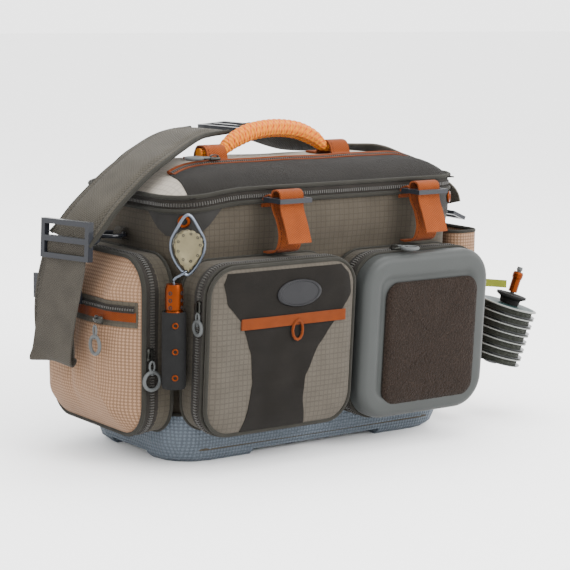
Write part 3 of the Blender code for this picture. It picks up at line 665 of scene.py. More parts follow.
def case():
    half_x, half_y = SHELL_HIGH.x, SHELL_HIGH.y
    floor, top = SHELL_LOW.z, SHELL_HIGH.z
    levels = 34
    outer = []
    for k in range(levels + 1):
        z = floor + (top - floor) * k / levels
        inset = between(((floor, 0.0055), (0.046, 0.0022), (0.15, 0.0), (top, 0.0)), z)
        swell = -0.0012 + (0.0022 * math.sin(math.pi * (z - 0.186) / 0.046) if z > 0.186 else 0.0)
        outer.append(plan(half_x - inset, half_y - inset, BODY_R, z, swell, 1.0 if z < top - 0.002 else 0.0))
    inner = []
    for z, inset in ((top, WALL), (0.15, WALL), (0.046, 0.0062), (floor + WALL, 0.0105)):
        inner.append(plan(half_x - inset, half_y - inset, BODY_R - WALL, z))
    piece = finish_mesh("case_cloth", skin("case_cloth", outer + inner), ["khaki", "lining"], "case",
                        ["main_shell"])
    paint(piece, lambda c, n: 1 if max(abs(c.x) - half_x, abs(c.y) - half_y) < -0.0045 and c.z > 0.05
          and n.dot(Vector((c.x, c.y, 0))) < 0 else 0)
    ring_z = (ZIP_LOW.z + ZIP_HIGH.z) / 2
    edge = [sagged(Vector((p.x, p.y, ring_z))) for p in outline(ZIP_HIGH.x - 0.0008, ZIP_HIGH.y - 0.0008,
                                                                BODY_R, 12, 40)]
    outward = [Vector((p.x / ZIP_HIGH.x, p.y / ZIP_HIGH.y, 0)).normalized() for p in edge]
    flat = [(t * 0.62, v) for t, v in ZIP_PROFILE]
    mesh = sweep("main_zip", edge, outward, flat, closed=True)
    finish_mesh("main_zip", mesh, ["tape", "chain"], "case", ["main_zip_tape"])
    for index, face in enumerate(mesh.polygons):
        face.material_index = 1 if index % len(flat) in (2, 3, 4) else 0
    for z, body, name in ((ZIP_LOW.z - 0.0004, "case", "lower"), (ZIP_HIGH.z + 0.0020, "lid", "upper")):
        path = [sagged(Vector((p.x, p.y, z))) for p in outline(ZIP_HIGH.x + 0.0004, ZIP_HIGH.y + 0.0004,
                                                               BODY_R, 12, 20)]
        tube(f"{name}_rim_piping", path, 0.0020, "binding", body, closed=True)


LID_RISE = LID_HIGH.z - LID_LOW.z


def lid_height(d):
    """Height of the lid's top at a distance in from its rim."""
    return LID_LOW.z + 0.0004 + (LID_RISE - 0.0004) * (1 - (1 - min(max(d, 0.0) / LID_SHOULDER, 1.0)) ** 2.3)


def lid_surface(x, y):
    d = inside(x, y, LID_HIGH.x, LID_HIGH.y, BODY_R)
    here = lid_height(d) + crumple((x, y, 0), 22, 0.0012, 3.0) * min(1.0, d / 0.02)
    return sagged(Vector((x, y, here))), Z


def lid():
    half_x, half_y = LID_HIGH.x, LID_HIGH.y
    outer = []
    steps = 26
    for k in range(steps + 1):
        d = (half_y - 0.004) * (k / steps) ** 1.3
        ring = []
        for p in outline(half_x - d, half_y - d, max(BODY_R - d, 0.003), arc=8, straight=26):
            point, _ = lid_surface(p.x, p.y)
            ring.append(point)
        outer.append(ring)
    inner = []
    for d in (0.070, 0.040, 0.016, 0.005, 0.0025):
        ring = []
        for p in outline(half_x - d, half_y - d, max(BODY_R - d, 0.003), arc=8, straight=26):
            height = max(LID_LOW.z, lid_height(inside(p.x, p.y, half_x, half_y, BODY_R)) - 0.0040)
            ring.append(sagged(Vector((p.x, p.y, height))))
        inner.append(ring)
    mesh = skin("lid_cloth", list(reversed(inner)) + outer, caps=True)
    piece = finish_mesh("lid_cloth", mesh, ["beige", "lining"], "lid", ["lid_panel"])
    paint(piece, lambda c, n: 1 if n.z < -0.3 or inside(c.x, c.y, half_x, half_y, BODY_R) < 0.0030 else 0)
    front = half_y - 0.0015

    def brown_x(y):
        depth = (y + front) / (front - 0.030)
        reach = 0.146 - 0.012 * depth
        return -reach, reach + 0.004

    patch("lid_front_panel", lid_surface, brown_x, (-front, -0.031), 0.0008, "brown", "lid", (60, 16))
    path = []
    for k in range(61):
        x = -0.134 + 0.286 * k / 60
        point, _ = lid_surface(x, -0.030 - 0.010 * (max(0.0, abs(x) - 0.10) / 0.05) ** 2)
        path.append(point + Z * 0.0008)
    chain = zip_strip("lid_zip", path, Z, "lid", scale=0.62, tape="orange_trim")
    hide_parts("lid_pocket_zip")
    tube("lid_zip_piping", [p + Vector((0, 0.0052, 0.0012)) for p in path], 0.0018, "orange_trim", "lid")


def base():
    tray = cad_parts["base_tray"]
    tray.data.materials.clear()
    tray.data.materials.append(M["base"])
    soften(tray, 0.0012, 3)
    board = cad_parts["floor_board"]
    board.data.materials.clear()
    board.data.materials.append(M["lining"])
    rim = [Vector((p.x, p.y, TRAY_HIGH.z + 0.0006))
           for p in outline(TRAY_HIGH.x - 0.0006, TRAY_HIGH.y - 0.0006, BODY_R, 12, 20)]
    tube("tray_binding", rim, 0.0014, "binding", "case", closed=True)


# ---- pockets ----
def lean(z):
    return -LEAN * (z - FRONT_LOW.z)


def face_outline(low, high, radius, inset=0.0, arc=8, straight=16):
    """Points (x, z) of a front pocket's rounded outline."""
    middle_x, middle_z = (low.x + high.x) / 2, (low.z + high.z) / 2
    half_x, half_z = (high.x - low.x) / 2 - inset, (high.z - low.z) / 2 - inset
    points = outline(half_x, half_z, max(radius - inset, 0.003), arc, straight)
    return [(middle_x + p.x, middle_z + p.y) for p in points]


def pocket_wall(name, low, high, radius, front, nodes):
    """The wall between the case and a front pocket's face, with piping at both edges and a zip round it."""
    back = high.y
    outer = [[Vector((x, y + (lean(z) if y < back - 0.01 else 0.0), z)) for x,
              z in face_outline(low, high, radius, i)]
             for y, i in ((back, 0.0), ((back + front) / 2, -0.0006), (front, 0.0), (front, WALL),
                          (back, WALL))]
    finish_mesh(name, skin(name, outer, closed=True), "gusset", "case", nodes)
    middle = Vector(((low.x + high.x) / 2, 0, (low.z + high.z) / 2))
    zip_y = front + 0.0085
    path, ups = [], []
    for x, z in face_outline(low, high, radius, arc=12, straight=30):
        path.append(Vector((x, zip_y + lean(z), z)))
    for tangent in tangents(path, closed=True):
        up = Vector((tangent.z, 0, -tangent.x)).normalized()
        ups.append(up)
    ups = [u if u.dot(p - middle) > 0 else -u for u, p in zip(ups, path)]
    zip_strip(f"{name}_zip", path, ups, "case", closed=True)
    for key, y in (("back", back - 0.001), ("front", front + 0.0006)):
        seam = [Vector((x, y + (lean(z) if key == "front" else 0.0), z))
                for x, z in face_outline(low, high, radius, -0.0004, 12, 12)]
        tube(f"{name}_{key}_piping", seam, 0.0014, "binding", "case", closed=True, up=Y)


def pillow(low, high, radius, face, bulge, spread, seed):
    """A surface function for a padded face that looks to the front."""
    middle_x, middle_z = (low.x + high.x) / 2, (low.z + high.z) / 2
    half_x, half_z = (high.x - low.x) / 2, (high.z - low.z) / 2

    def surface(x, z):
        d = inside(x - middle_x, z - middle_z, half_x, half_z, radius)
        rise = 1 - (1 - min(max(d, 0.0) / spread, 1.0)) ** 2.2
        wrinkle = crumple((x, 0, z * 0.7), 45, 0.0010, seed) + crumple((x * 0.4, 0, z * 2), 60, 0.0007,
                                                                       seed + 2)
        return Vector((x, face + lean(z) - bulge * rise - wrinkle * rise, z)), -Y

    return surface


def padded_face(name, low, high, radius, surface, depth, material, body, nodes):
    """A closed padded panel: crowned in front, flat behind."""
    rings = []
    half_z = (high.z - low.z) / 2
    steps = 22
    back = [Vector((x, surface(x, z)[0].y + depth, z)) for x, z in face_outline(low, high, radius, 0.004)]
    edge = face_outline(low, high, radius, 0.0)
    rings.append(back)
    rings.append([Vector((x, surface(x, z)[0].y + depth * 0.6, z)) for x, z in edge])
    for k in range(steps + 1):
        inset = (half_z - 0.004) * (k / steps) ** 1.3
        rings.append([surface(x, z)[0] for x, z in face_outline(low, high, radius, inset)])
    return finish_mesh(name, skin(name, rings), material, body, nodes)


BROWN_LEFT = ((0.037, -0.120), (0.055, -0.114), (0.080, -0.110), (0.105, -0.113), (0.133, -0.123),
              (0.150, -0.139),
              (0.168, -0.1425), (0.176, -0.138))
BROWN_RIGHT = ((0.037, -0.052), (0.060, -0.056), (0.080, -0.054), (0.105, -0.042), (0.133, -0.020),
               (0.150, -0.006),
               (0.168, -0.010), (0.176, -0.018))


def front_pocket():
    low, high = FRONT_LOW, FRONT_HIGH
    face = box("front_pocket_panel")[1].y
    pocket_wall("front_pocket_wall", low, high, POCKET_R, face + 0.0004, ["front_pocket_gusset"])
    surface = pillow(low, high, POCKET_R, face - 0.0028, 0.0050, 0.018, 5.0)
    padded_face("front_pocket_face", low, high, POCKET_R, surface, 0.0026, "tan", "front_door",
                ["front_pocket_panel"])
    patch("front_pocket_twill", surface, lambda z: (between(BROWN_LEFT, z), between(BROWN_RIGHT, z)),
          (0.0365, 0.1765),
          0.0007, "brown", "front_door", (30, 50))
    patch("front_pocket_bar", surface, lambda z: (-0.1245, -0.014), (0.1270, 0.1365), 0.0019, "orange_trim",
          "front_door", (30, 4))
    edge = [surface(x, z)[0] for x, z in face_outline(low, high, POCKET_R, 0.0010, 12, 16)]
    tube("front_pocket_piping", edge, 0.0019, "binding", "front_door", closed=True, up=Y)
    loop = []
    for k in range(13):
        angle = math.pi * (0.5 + k / 6)
        x, z = -0.066 + 0.0055 * math.cos(angle), 0.1225 + 0.0085 * math.sin(angle)
        loop.append(surface(x, z)[0] - Y * 0.0026)
    tube("front_pocket_cord_loop", loop[:-1], 0.0013, "orange_trim", "front_door", closed=True, up=Y)
    badge("front_pocket_badge", surface, (-0.065, 0.155), (0.0235, 0.0120), "badge", "front_door")


def badge(name, surface, centre, half, material, body):
    """A plain moulded oval with a raised rim."""
    rings = []
    for grow, lift in ((1.0, -0.0003), (1.0, 0.0012), (0.95, 0.0020), (0.88, 0.0020), (0.84, 0.0012),
                       (0.0, 0.0013)):
        ring = []
        for k in range(48):
            angle = 2 * math.pi * k / 48
            point, out = surface(centre[0] + half[0] * grow * math.cos(angle),
                                 centre[1] + half[1] * grow * math.sin(angle))
            ring.append(point + out * (lift + 0.0006))
        rings.append(ring)
    finish_mesh(name, skin(name, rings), material, body)


def eva_pocket():
    low, high = EVA_LOW, EVA_HIGH
    shell_low = box("eva_shell")[0]
    lean_top = lean(high.z)
    face = box("eva_pocket_gusset")[0].y - lean_top - 0.0004
    pocket_wall("eva_pocket_wall", low, high, EVA_R, face + 0.0004, ["eva_pocket_gusset"])
    front = shell_low.y - lean_top

    def ring(y, inset):
        return [Vector((x, y + lean(z), z)) for x, z in face_outline(low, high, EVA_R, inset, 10, 14)]

    rings = [ring(face - 0.015, 0.0085), ring(face, 0.0045), ring(face, 0.0)]
    crown = 0.0075
    for k in range(9):
        angle = math.pi / 2 * k / 8
        rings.append(ring(front + 0.0005 + crown * (1 - math.sin(angle)), crown * (1 - math.cos(angle))))
    for inset, sink in ((0.0140, 0.0), (0.0180, 0.0006), (0.0200, 0.0022), (0.0235, 0.0026), (0.030, 0.0026),
                        (0.060, 0.0026)):
        rings.append(ring(front + 0.0005 + sink, inset))
    finish_mesh("eva_shell_moulded", skin("eva_shell_moulded", rings), "eva", "eva_door", ["eva_shell"])
    patch_low, patch_high = box("eva_patch")
    pad = []
    for inset, lift in ((0.0, 0.0030), (0.0, 0.0008), (0.002, -0.0012), (0.006, -0.0018), (0.02, -0.0022),
                        (0.05, -0.0022)):
        ring_points = []
        for x, z in face_outline(patch_low, patch_high, 0.014, inset, 10, 30):
            fuzz = crumple((x, 0, z), 420, 0.0006, 2.0) if inset > 0 else 0.0
            ring_points.append(Vector((x, front + 0.0005 + lean(z) + lift - fuzz, z)))
        pad.append(ring_points)
    finish_mesh("fleece_patch", skin("fleece_patch", pad), "fleece", "eva_door", ["eva_patch"])
    seam = [Vector((x, face - 0.0015 + lean(z), z)) for x,
            z in face_outline(low, high, EVA_R, -0.0005, 12, 12)]
    tube("eva_piping", seam, 0.0016, "binding", "case", closed=True, up=Y)


def left_pocket():
    low, high = LEFT_LOW, LEFT_HIGH
    middle_y, middle_z = (low.y + high.y) / 2, (low.z + high.z) / 2
    half_y, half_z = (high.y - low.y) / 2, (high.z - low.z) / 2
    radius = 0.030

    def ring(x, inset, swell=0.0):
        points = []
        for p in outline(half_y - inset, half_z - inset, max(radius - inset, 0.003), 8, 18):
            out = Vector((0, p.x / half_y, p.y / half_z)).normalized()
            points.append(Vector((x, middle_y + p.x, middle_z + p.y)) + out * swell)
        return points

    wall = [ring(high.x, 0.0), ring((low.x + high.x) / 2, 0.0, 0.0008), ring(low.x, 0.0), ring(low.x, WALL),
            ring(high.x, WALL)]
    finish_mesh("left_pocket_wall", skin("left_pocket_wall", wall, closed=True), "gusset", "case",
                ["left_pocket_gusset"])
    bulge = low.x - MESH_LOW.x - 0.0004

    def surface(y, z):
        d = inside(y - middle_y, z - middle_z, half_y, half_z, radius)
        rise = 1 - (1 - min(max(d, 0.0) / 0.046, 1.0)) ** 2.0
        sag = 1.0 + 0.12 * (middle_z - z) / half_z
        gather = crumple((0, y * 1.8, z * 0.7), 42, 0.0022, 7.0) + crumple((0, y * 3, z), 70, 0.0010, 9.0)
        waist = 0.0035 * math.exp(-((z - 0.138) / 0.012) ** 2)
        return Vector((low.x - 0.0006 - (bulge * sag - waist + gather) * rise, y, z)), -X

    rings = [[Vector((low.x + 0.002, middle_y + p.x, middle_z + p.y)) for p in outline(half_y - 0.005,
                                                                                       half_z - 0.005, 0.025,
                                                                                       8, 18)],
             ring(low.x - 0.0004, 0.0)]
    steps = 26
    for k in range(1, steps + 1):
        inset = (half_y - 0.004) * (k / steps) ** 1.2
        rings.append([surface(middle_y + p.x, middle_z + p.y)[0]
                      for p in outline(half_y - inset, half_z - inset, max(radius - inset, 0.003), 8, 18)])
    finish_mesh("left_pocket_net", skin("left_pocket_net", rings), "mesh", "case", ["left_pocket_panel"])
    patch("left_band_tape", surface, lambda z: (low.y + 0.004, high.y - 0.004), (0.1270, 0.1490), 0.0010,
          "gusset", "case",
          (50, 6))
    patch("left_band_orange", surface, lambda z: (low.y + 0.005, high.y - 0.005), (0.1320, 0.1400), 0.0020,
          "orange_trim",
          "case", (50, 3))
    line = [surface(low.y + 0.006 + (high.y - low.y - 0.012) * k / 60,
                    0.1425)[0] - X * 0.0012 for k in range(61)]
    zip_strip("left_band_zip", line, -X, "case", scale=0.4)
    path = [Vector((low.x + 0.0075, middle_y + p.x, middle_z + p.y)) for p in outline(half_y, half_z, radius,
                                                                                      12, 30)]
    ups = []
    for tangent, point in zip(tangents(path, closed=True), path):
        up = Vector((0, tangent.z, -tangent.y))
        ups.append(up if up.dot(point - Vector((point.x, middle_y, middle_z))) > 0 else -up)
    zip_strip("left_pocket_zip", path, ups, "case", closed=True, scale=0.85)
    for key, x, r in (("outer", low.x - 0.0004, 0.0022), ("inner", high.x - 0.001, 0.0016)):
        tube(f"left_pocket_{key}_piping", ring(x, -0.0003), r, "binding", "case", closed=True, up=X)


def slip_pocket(name, low, high, node, material):
    """An open-topped pocket whose rim is bound."""
    centre = Vector(((low.x + high.x) / 2, (low.y + high.y) / 2))
    half_x, half_y = (high.x - low.x) / 2, (high.y - low.y) / 2
    radius = min(half_x, half_y) * 0.8

    def ring(z, inset):
        points = outline(half_x - inset, half_y - inset, max(radius - inset, 0.002), 8, 14)
        return [Vector((centre.x + p.x, centre.y + p.y, z)) for p in points]

    heights = [low.z + 0.010 + (high.z - low.z - 0.010) * k / 16 for k in range(17)]
    rings = [ring(low.z, 0.004), ring(low.z + 0.003, 0.0015)]
    rings += [ring(z, 0.0) for z in heights]
    rings += [ring(high.z, 0.0022), ring(low.z + 0.004, 0.0026)]
    finish_mesh(name, skin(name, rings), material, "case", [node])
    tube(f"{name}_binding", ring(high.z, 0.0011), 0.0018, "binding", "case", closed=True)


# ---- straps ----
def polish_cad(names, material, width=0.0008):
    """Gives CAD nodes whose shape is right a finished material and softened edges."""
    for name in names:
        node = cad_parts[name]
        node.data.materials.clear()
        node.data.materials.append(M[material])
        if width:
            soften(node, width, 2)


def shoulder_strap():
    hanging = [
        Vector((-0.2290, -0.0180, 0.1990)), Vector((-0.2305, -0.0175, 0.1755)),
               Vector((-0.2335, -0.0080, 0.1350)),
        Vector((-0.2345, 0.0000, 0.0980)), Vector((-0.2310, 0.0040, 0.0905)),
               Vector((-0.2270, 0.0070, 0.0980)),
        Vector((-0.2265, 0.0120, 0.1320)), Vector((-0.2245, 0.0090, 0.1600)),
               Vector((-0.2205, 0.0060, 0.1820)),
    ]
    strip("strap_hanging_webbing", smooth_path(hanging), ACROSS, STRAP_WIDTH - 0.002, 0.0018, "olive",
          "case",
          ["strap_webbing_left"])
    pad = [
        Vector((-0.2270, -0.0190, 0.1990)), Vector((-0.2165, -0.0190, 0.2090)),
           Vector((-0.2030, -0.0180, 0.2235)),
        Vector((-0.1880, -0.0150, 0.2355)), Vector((-0.1660, -0.0095, 0.2505)),
           Vector((-0.1450, -0.0035, 0.2615)),
        Vector((-0.1180, 0.0130, 0.2700)), Vector((-0.0800, 0.0335, 0.2795)),
           Vector((-0.0450, 0.0395, 0.2830)),
    ]
    level = Vector((0.15, -0.98, 0.0))
    path = smooth_path(pad, 8)
    bend = ("case", "lid", pad[1], pad[5])
    rings = []
    edges = {-1: [], 1: []}
    for i, (point, tangent) in enumerate(zip(path, tangents(path))):
        side = ACROSS.lerp(level, i / (len(path) - 1))
        side = (side - tangent * side.dot(tangent)).normalized()
        up = side.cross(tangent).normalized()
        up = up if up.z > 0 else -up
        taper = min(1.0, 0.25 + i / 10, 0.25 + (len(path) - 1 - i) / 6)
        thick = PAD_THICK * taper
        ring = []
        for k in range(40):
            a = 2 * math.pi * k / 40
            flat = math.copysign(abs(math.cos(a)) ** 0.5, math.cos(a))
            rise = math.copysign(abs(math.sin(a)) ** 0.7, math.sin(a))
            channel = 1 - 0.55 * math.exp(-((abs(flat) - 0.80) / 0.05) ** 2)
            ring.append(point + side * flat * PAD_HALF + up * rise * thick * channel)
        rings.append(ring)
        for hand, edge in edges.items():
            edge.append(point + side * hand * PAD_HALF)
    finish_mesh("strap_padding", skin("strap_padding", rings), "padding", bend, ["strap_pad"])
    for hand, key in ((-1, "rear"), (1, "front")):
        tube(f"strap_padding_{key}_binding", edges[hand], 0.0022, "binding", bend)
    right = [
        Vector((-0.0190, 0.0415, 0.2850)), Vector((0.0020, 0.0470, 0.2820)),
             Vector((0.0300, 0.0530, 0.2730)),
        Vector((0.0700, 0.0590, 0.2625)), Vector((0.1150, 0.0600, 0.2590)), Vector((0.1500, 0.0540, 0.2560)),
        Vector((0.1760, 0.0400, 0.2440)), Vector((0.1980, 0.0200, 0.2270)), Vector((0.2120, 0.0070, 0.2125)),
        Vector((0.2150, 0.0040, 0.2020)),
    ]
    strip("strap_right_webbing", smooth_path(right), Vector((0.1, -1, 0.22)).normalized(),
          STRAP_WIDTH - 0.002, 0.0018,
          "olive", ("case", "lid", right[-2], right[4]), ["strap_webbing_right"])
    polish_cad(["ladder_lock_left", "ladder_lock_top", "tri_glide", "d_ring_left", "d_ring_right",
                "strap_hook_left",
                "strap_hook_right"], "plastic")
    for side, name in ((-1, "left"), (1, "right")):
        low, high = box(f"strap_tab_{name}")
        z = (low.z + high.z) / 2
        inner, outer = (high.x, low.x) if side < 0 else (low.x, high.x)
        loop = [Vector((inner, 0, z + 0.0050)), Vector((inner + side * 0.005, 0, z + 0.0050)),
                Vector((outer, 0, z)),
                Vector((inner + side * 0.005, 0, z - 0.0050)), Vector((inner, 0, z - 0.0050))]
        strip(f"strap_tab_{name}_webbing", smooth_path(loop, 4), Y, 0.0125, 0.0012, "olive", "case",
              [f"strap_tab_{name}"])


def compression_straps():
    profile = ((-0.0895, 0.1860), (-0.0985, 0.1862), (-0.1085, 0.1900), (-0.1125, 0.2020), (-0.1085, 0.2150),
               (-0.1016, 0.2260), (-0.1010, 0.2385), (-0.1070, 0.2415), (-0.1130, 0.2385), (-0.1140, 0.2260),
               (-0.1205, 0.2120), (-0.1265, 0.1970))
    anchor = ((-0.0850, 0.2250), (-0.0880, 0.2330), (-0.0960, 0.2365), (-0.1000, 0.2345))
    for name in ("left", "right"):
        low, high = box(f"compression_strap_{name}")
        x = (low.x + high.x) / 2
        path = smooth_path([Vector((x, y, z)) for y, z in profile])
        strip(f"compression_webbing_{name}", path, X, 0.0246, 0.0015, "orange", "case",
              [f"compression_strap_{name}"])
        holder = smooth_path([Vector((x, y, z)) for y, z in anchor])
        strip(f"compression_anchor_{name}", holder, X, 0.0240, 0.0014, "orange", "case")
    polish_cad(["compression_buckle_left", "compression_buckle_right"], "plastic")


def handle():
    axis_z = box("handle_anchor_left")[0].z + 0.0072
    points = [(-0.083, 0), (-0.070, 0), (-0.058, 0.0015), (-0.045, 0.0100), (-0.025, 0.0175), (0, 0.0200)]
    points += [(-x, z) for x, z in reversed(points[:-1])]
    path = smooth_path([Vector((x, 0, axis_z + z)) for x, z in points], 14)
    count = 28
    rings = []
    run = 0.0
    for i, (point, tangent) in enumerate(zip(path, tangents(path))):
        run += (point - path[i - 1]).length if i else 0.0
        radius = 0.0042 + 0.0038 * max(0.0, 1 - abs(point.x / 0.060) ** 6)
        up = tangent.cross(Y)
        ring = []
        for k in range(count):
            a = 2 * math.pi * k / count
            knit = math.sin(3 * a + run * 2 * math.pi / 0.011) * math.sin(3 * a - run * 2 * math.pi / 0.011)
            r = radius * (1 + 0.08 * knit)
            ring.append(point + Y * r * 1.15 * math.cos(a) + up * r * math.sin(a))
        rings.append(ring)
    finish_mesh("handle_rope", skin("handle_rope", rings), "rope", "handle", ["handle_grip"])
    for name in ("left", "right"):
        foot_low, foot_high = box(f"handle_anchor_{name}")
        x = (foot_low.x + foot_high.x) / 2
        shape = ((-0.0290, -0.0030), (-0.0200, 0.0002), (-0.0125, 0.0010), (-0.0095, 0.0080),
                 (-0.0050, 0.0128),
                 (0.0050, 0.0128), (0.0095, 0.0080), (0.0125, 0.0010), (0.0200, 0.0002), (0.0290, -0.0030))
        path = []
        for y, z in shape:
            ground = lid_surface(x, y)[0].z + 0.0014
            path.append(Vector((x, y, max(foot_low.z + z, ground))))
        strip(f"handle_anchor_{name}_webbing", smooth_path(path, 4), X, 0.0215, 0.0018, "orange", "lid",
              [f"handle_anchor_{name}"])


# ---- small hardware ----
def eyelet(name, centre, axis, radius, material, body):
    first = axis.orthogonal().normalized()
    second = axis.cross(first)
    angles = [2 * math.pi * k / 20 for k in range(20)]
    path = [centre + radius * (first * math.cos(a) + second * math.sin(a)) for a in angles]
    tube(name, path, radius * 0.34, material, body, closed=True, up=axis, sides=8)


def corner_patches():
    """Dark reinforced corners under the rim, each with an eyelet."""
    half_x, half_y = SHELL_HIGH.x, SHELL_HIGH.y
    top = SHELL_HIGH.z
    for side, name in ((-1, "left"), (1, "right")):
        start = Vector((side * (half_x - BODY_R), -(half_y - BODY_R), 0))

        def surface(angle, z):
            out = Vector((side * math.cos(angle), -math.sin(angle), 0))
            reach = BODY_R + 0.0004
            point = start + out * reach
            if angle > math.pi / 2:
                point = start + Vector((0, -reach, 0)) - X * side * (angle - math.pi / 2) * BODY_R
                out = -Y
            if angle < 0:
                point = start + Vector((side * reach, 0, 0)) - Y * angle * BODY_R
                out = X * side
            return sagged(Vector((point.x, point.y, z))), out

        def span(z):
            drop = (top - z) / 0.026
            return -0.25 + 0.75 * drop, math.pi / 2 + 0.30 - 0.75 * drop

        patch(f"corner_patch_{name}", surface, span, (top - 0.0240, top - 0.0008), 0.0014, "lining", "case",
              (20, 10))
        where, out = surface(math.radians(50), top - 0.0085)
        eyelet(f"corner_eyelet_{name}", where + out * 0.0024, out, 0.0042, "anodised", "case")


SLIDERS = {
    "main_slider": (Y, -X), "lid_slider": (X, Z), "edge_slider": (Z, -Y), "front_slider": (Z, -X),
           "eva_slider": (X, Z),
    "mesh_slider": (Y, -X),
}


def sliders():
    """Zip sliders: a waisted metal body with a raised bridge."""
    for name, (along, out) in SLIDERS.items():
        low, high = box(name)
        centre = (low + high) / 2
        base = centre - out * 0.0015
        side = along.cross(out)
        rings = []
        for height, grow in ((0.0, 0.85), (0.0006, 1.0), (0.0022, 1.0), (0.0028, 0.85)):
            ring = []
            for p in outline(0.0056 * grow, 0.0036 * grow, 0.0022 * grow, 4, 6):
                waist = 1 - 0.22 * math.cos(math.pi * p.x / 0.0112) ** 2
                ring.append(base + along * p.x + side * p.y * waist + out * height)
            rings.append(ring)
        finish_mesh(f"{name}_metal", skin(f"{name}_metal", rings), "gunmetal", name, [name])
        bridge = [base + along * u + out * h for u,
                  h in ((-0.0042, 0.0026), (-0.0030, 0.0046), (0.0030, 0.0046), (0.0042, 0.0026))]
        strip(f"{name}_bridge", smooth_path(bridge, 3), side, 0.0022, 0.0008, "gunmetal", name)


PULLS = {
    "lid_pull": (-X, Y), "mesh_pull": (-Z, Y), "edge_pull": (-Z, X), "front_pull": (-Z, Y),
         "eva_pull": (-Y, X),
}


def pulls():
    """Cord loops with a moulded ring at the end."""
    for name, (down, side) in PULLS.items():
        low, high = box(name)
        centre = (low + high) / 2
        length = abs((high - low).dot(down))
        top = centre - down * length / 2
        normal = side.cross(down)
        for key, radius, thick, drop, flat in (("cord", 0.0024, 0.0010, 0.0040, 1.8),
                                               ("ring", length * 0.31, 0.0016, length * 0.66, 1.0)):
            path = []
            for k in range(32):
                a = 2 * math.pi * k / 32
                path.append(top + down * (drop + radius * flat * math.cos(a)) + side * radius * math.sin(a))
            piece = tube(f"{name}_{key}", path, thick, "pull", name, closed=True, up=normal, sides=10)
            if key == "ring":
                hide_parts(name)
        for k in range(3):
            place = top + down * (0.0085 + 0.0012 * k)
            eyelet(f"{name}_grip_{k}", place, down, 0.0013, "pull", name)


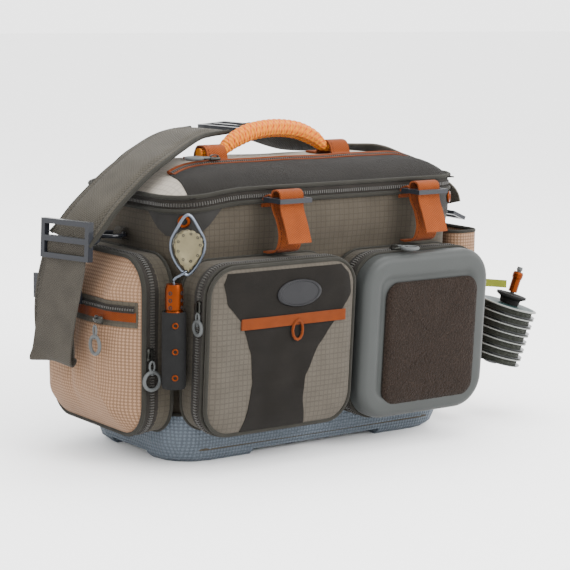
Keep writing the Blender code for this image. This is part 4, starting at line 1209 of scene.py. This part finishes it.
def hanging_tool():
    normal = Vector((-0.35, -0.94, 0.0)).normalized()
    side = Vector((0.94, -0.35, 0.0)).normalized()
    low, high = box("tool_reel")
    centre = (low + high) / 2 + Z * 0.0050

    def shape(grow, teeth=0.0):
        points = []
        for k in range(96):
            a = 2 * math.pi * k / 96
            u, v = math.cos(a), math.sin(a)
            drop = 1.0 if v > 0 else 1.75
            pinch = 1.0 if v > 0 else 1.0 - 0.45 * v * v
            r = 0.0125 + grow + teeth * math.cos(16 * a)
            points.append((u * pinch * r, v * drop * r))
        return points

    rings = [[centre + normal * n + side * u + Z * v for u, v in shape(g, t)]
             for n, g,
             t in ((-0.004, -0.0012, 0), (-0.003, 0, 0.0003), (0.003, 0, 0.0003), (0.0042, -0.0012, 0),
                   (0.0042, -0.0035, 0),
                             (0.0036, -0.0045, 0))]
    finish_mesh("reel_case", skin("reel_case", rings), "gold", "tool_reel", ["tool_reel"])
    for k in range(9):
        a = 2 * math.pi * k / 9
        drop = 1.0 if math.sin(a) > 0 else 1.4
        spot = centre + side * REEL_HOLE_R * math.cos(a) + Z * REEL_HOLE_R * math.sin(a) * drop
        eyelet(f"reel_hole_{k}", spot + normal * 0.0042, normal, 0.0009, "badge", "tool_reel")
    clip = []
    for u, v in shape(0.0022):
        lift = 0.0105 * max(0.0, v / 0.0147) ** 6
        clip.append(centre - normal * 0.0005 + side * u + Z * (v + lift))
    tube("reel_clip_wire", clip, 0.0013, "steel", "tool_reel", closed=True, up=normal, nodes=["reel_clip"])
    tube_low, tube_high = box("tool_tube")
    foot = Vector(((tube_low.x + tube_high.x) / 2, (tube_low.y + tube_high.y) / 2, tube_low.z))
    height = tube_high.z - tube_low.z
    turned("tool_tube_metal", foot, Z,
           [(0.0060, 0), (0.0078, 0.0015), (0.0078, height * 0.72), (0.0070, height * 0.74),
                                        (0.0078, height * 0.76), (0.0078, height - 0.004), (0.0066, height),
            (0.0040, height)],
           "anodised", "tool_tube", ["tool_tube"])
    for k in range(3):
        for turn in (-0.5, 0.9):
            out = Vector((math.sin(-0.5 + turn), -math.cos(-0.5 + turn), 0))
            eyelet(f"tube_hole_{k}_{'a' if turn < 0 else 'b'}",
                   foot + out * 0.0079 + Z * (height - 0.0070 - 0.0062 * k), out, 0.0013,
                   "badge", "tool_tube")
    sleeve_low, sleeve_high = box("tool_sleeve")
    base = Vector((foot.x, foot.y, sleeve_low.z))
    tall = sleeve_high.z - sleeve_low.z
    turned("tool_sleeve_foam", base, Z,
           [(0.0084, 0), (0.0095, 0), (0.0104, 0.0015), (0.0104, tall * 0.5), (0.0100, tall * 0.52),
                                         (0.0104, tall * 0.54), (0.0104, tall - 0.0015), (0.0095, tall),
            (0.0084, tall)],
           "foam", "tool_sleeve", ["tool_sleeve"], looped=True)
    for k in range(3):
        out = Vector((-0.45, -0.89, 0)).normalized()
        eyelet(f"sleeve_eyelet_{k}", base + out * 0.0104 + Z * tall * (0.16 + 0.34 * k), out, 0.0021,
               "anodised", "tool_sleeve")
    link = [centre - Z * 0.021, centre - Z * 0.024 - X * 0.004, foot + Z * (height + 0.004),
            foot + Z * (height - 0.001)]
    tube("tool_link", smooth_path(link, 5), 0.0011, "steel", "tool_reel")


def spools():
    first_low, first_high = box("line_spool_1")
    last_low, last_high = box("line_spool_7")
    start, end = (first_low + first_high) / 2, (last_low + last_high) / 2
    axis = (end - start).normalized()
    pitch = (end - start).length / 6
    radius, tall, flange = 0.0285, 0.0076, 0.0013
    groove = radius - 0.0035
    for k in range(7):
        base = start + axis * (pitch * k - tall / 2)
        profile = [(0.0050, 0, 0), (radius - 0.0006, 0, 0), (radius, 0.0004, 0), (radius, flange, 0),
                   (groove, flange, 2),
                   (groove, tall - flange, 0), (radius, tall - flange, 1), (radius, tall - 0.0004, 1),
                   (radius - 0.0006, tall, 0 if k < 6 else 1), (radius - 0.0030, tall, 3 if k == 6 else 0),
                   (0.0050, tall, 0)]
        turned(f"spool_{k + 1}_turned", base, axis, profile, ["spool", "white", "line", "teal"],
               f"spool_{k + 1}",
               [f"line_spool_{k + 1}"], sides=64, looped=True)
    polish_cad(["spool_cone"], "foam", 0.0006)
    polish_cad(["spool_toggle"], "anodised", 0.0005)
    polish_cad(["spool_cord"], "pull", 0)
    polish_cad(["spool_tab"], "lime", 0)


def build():
    camera()
    studio()
    base()
    case()
    lid()
    front_pocket()
    eva_pocket()
    left_pocket()
    slip_pocket("right_slip_pocket", RIGHT_LOW, RIGHT_HIGH, "right_pocket", "mesh")
    slip_pocket("rear_slip_pocket", REAR_LOW, REAR_HIGH, "rear_pocket", "khaki")
    shoulder_strap()
    compression_straps()
    handle()
    corner_patches()
    sliders()
    pulls()
    hanging_tool()
    spools()


build()
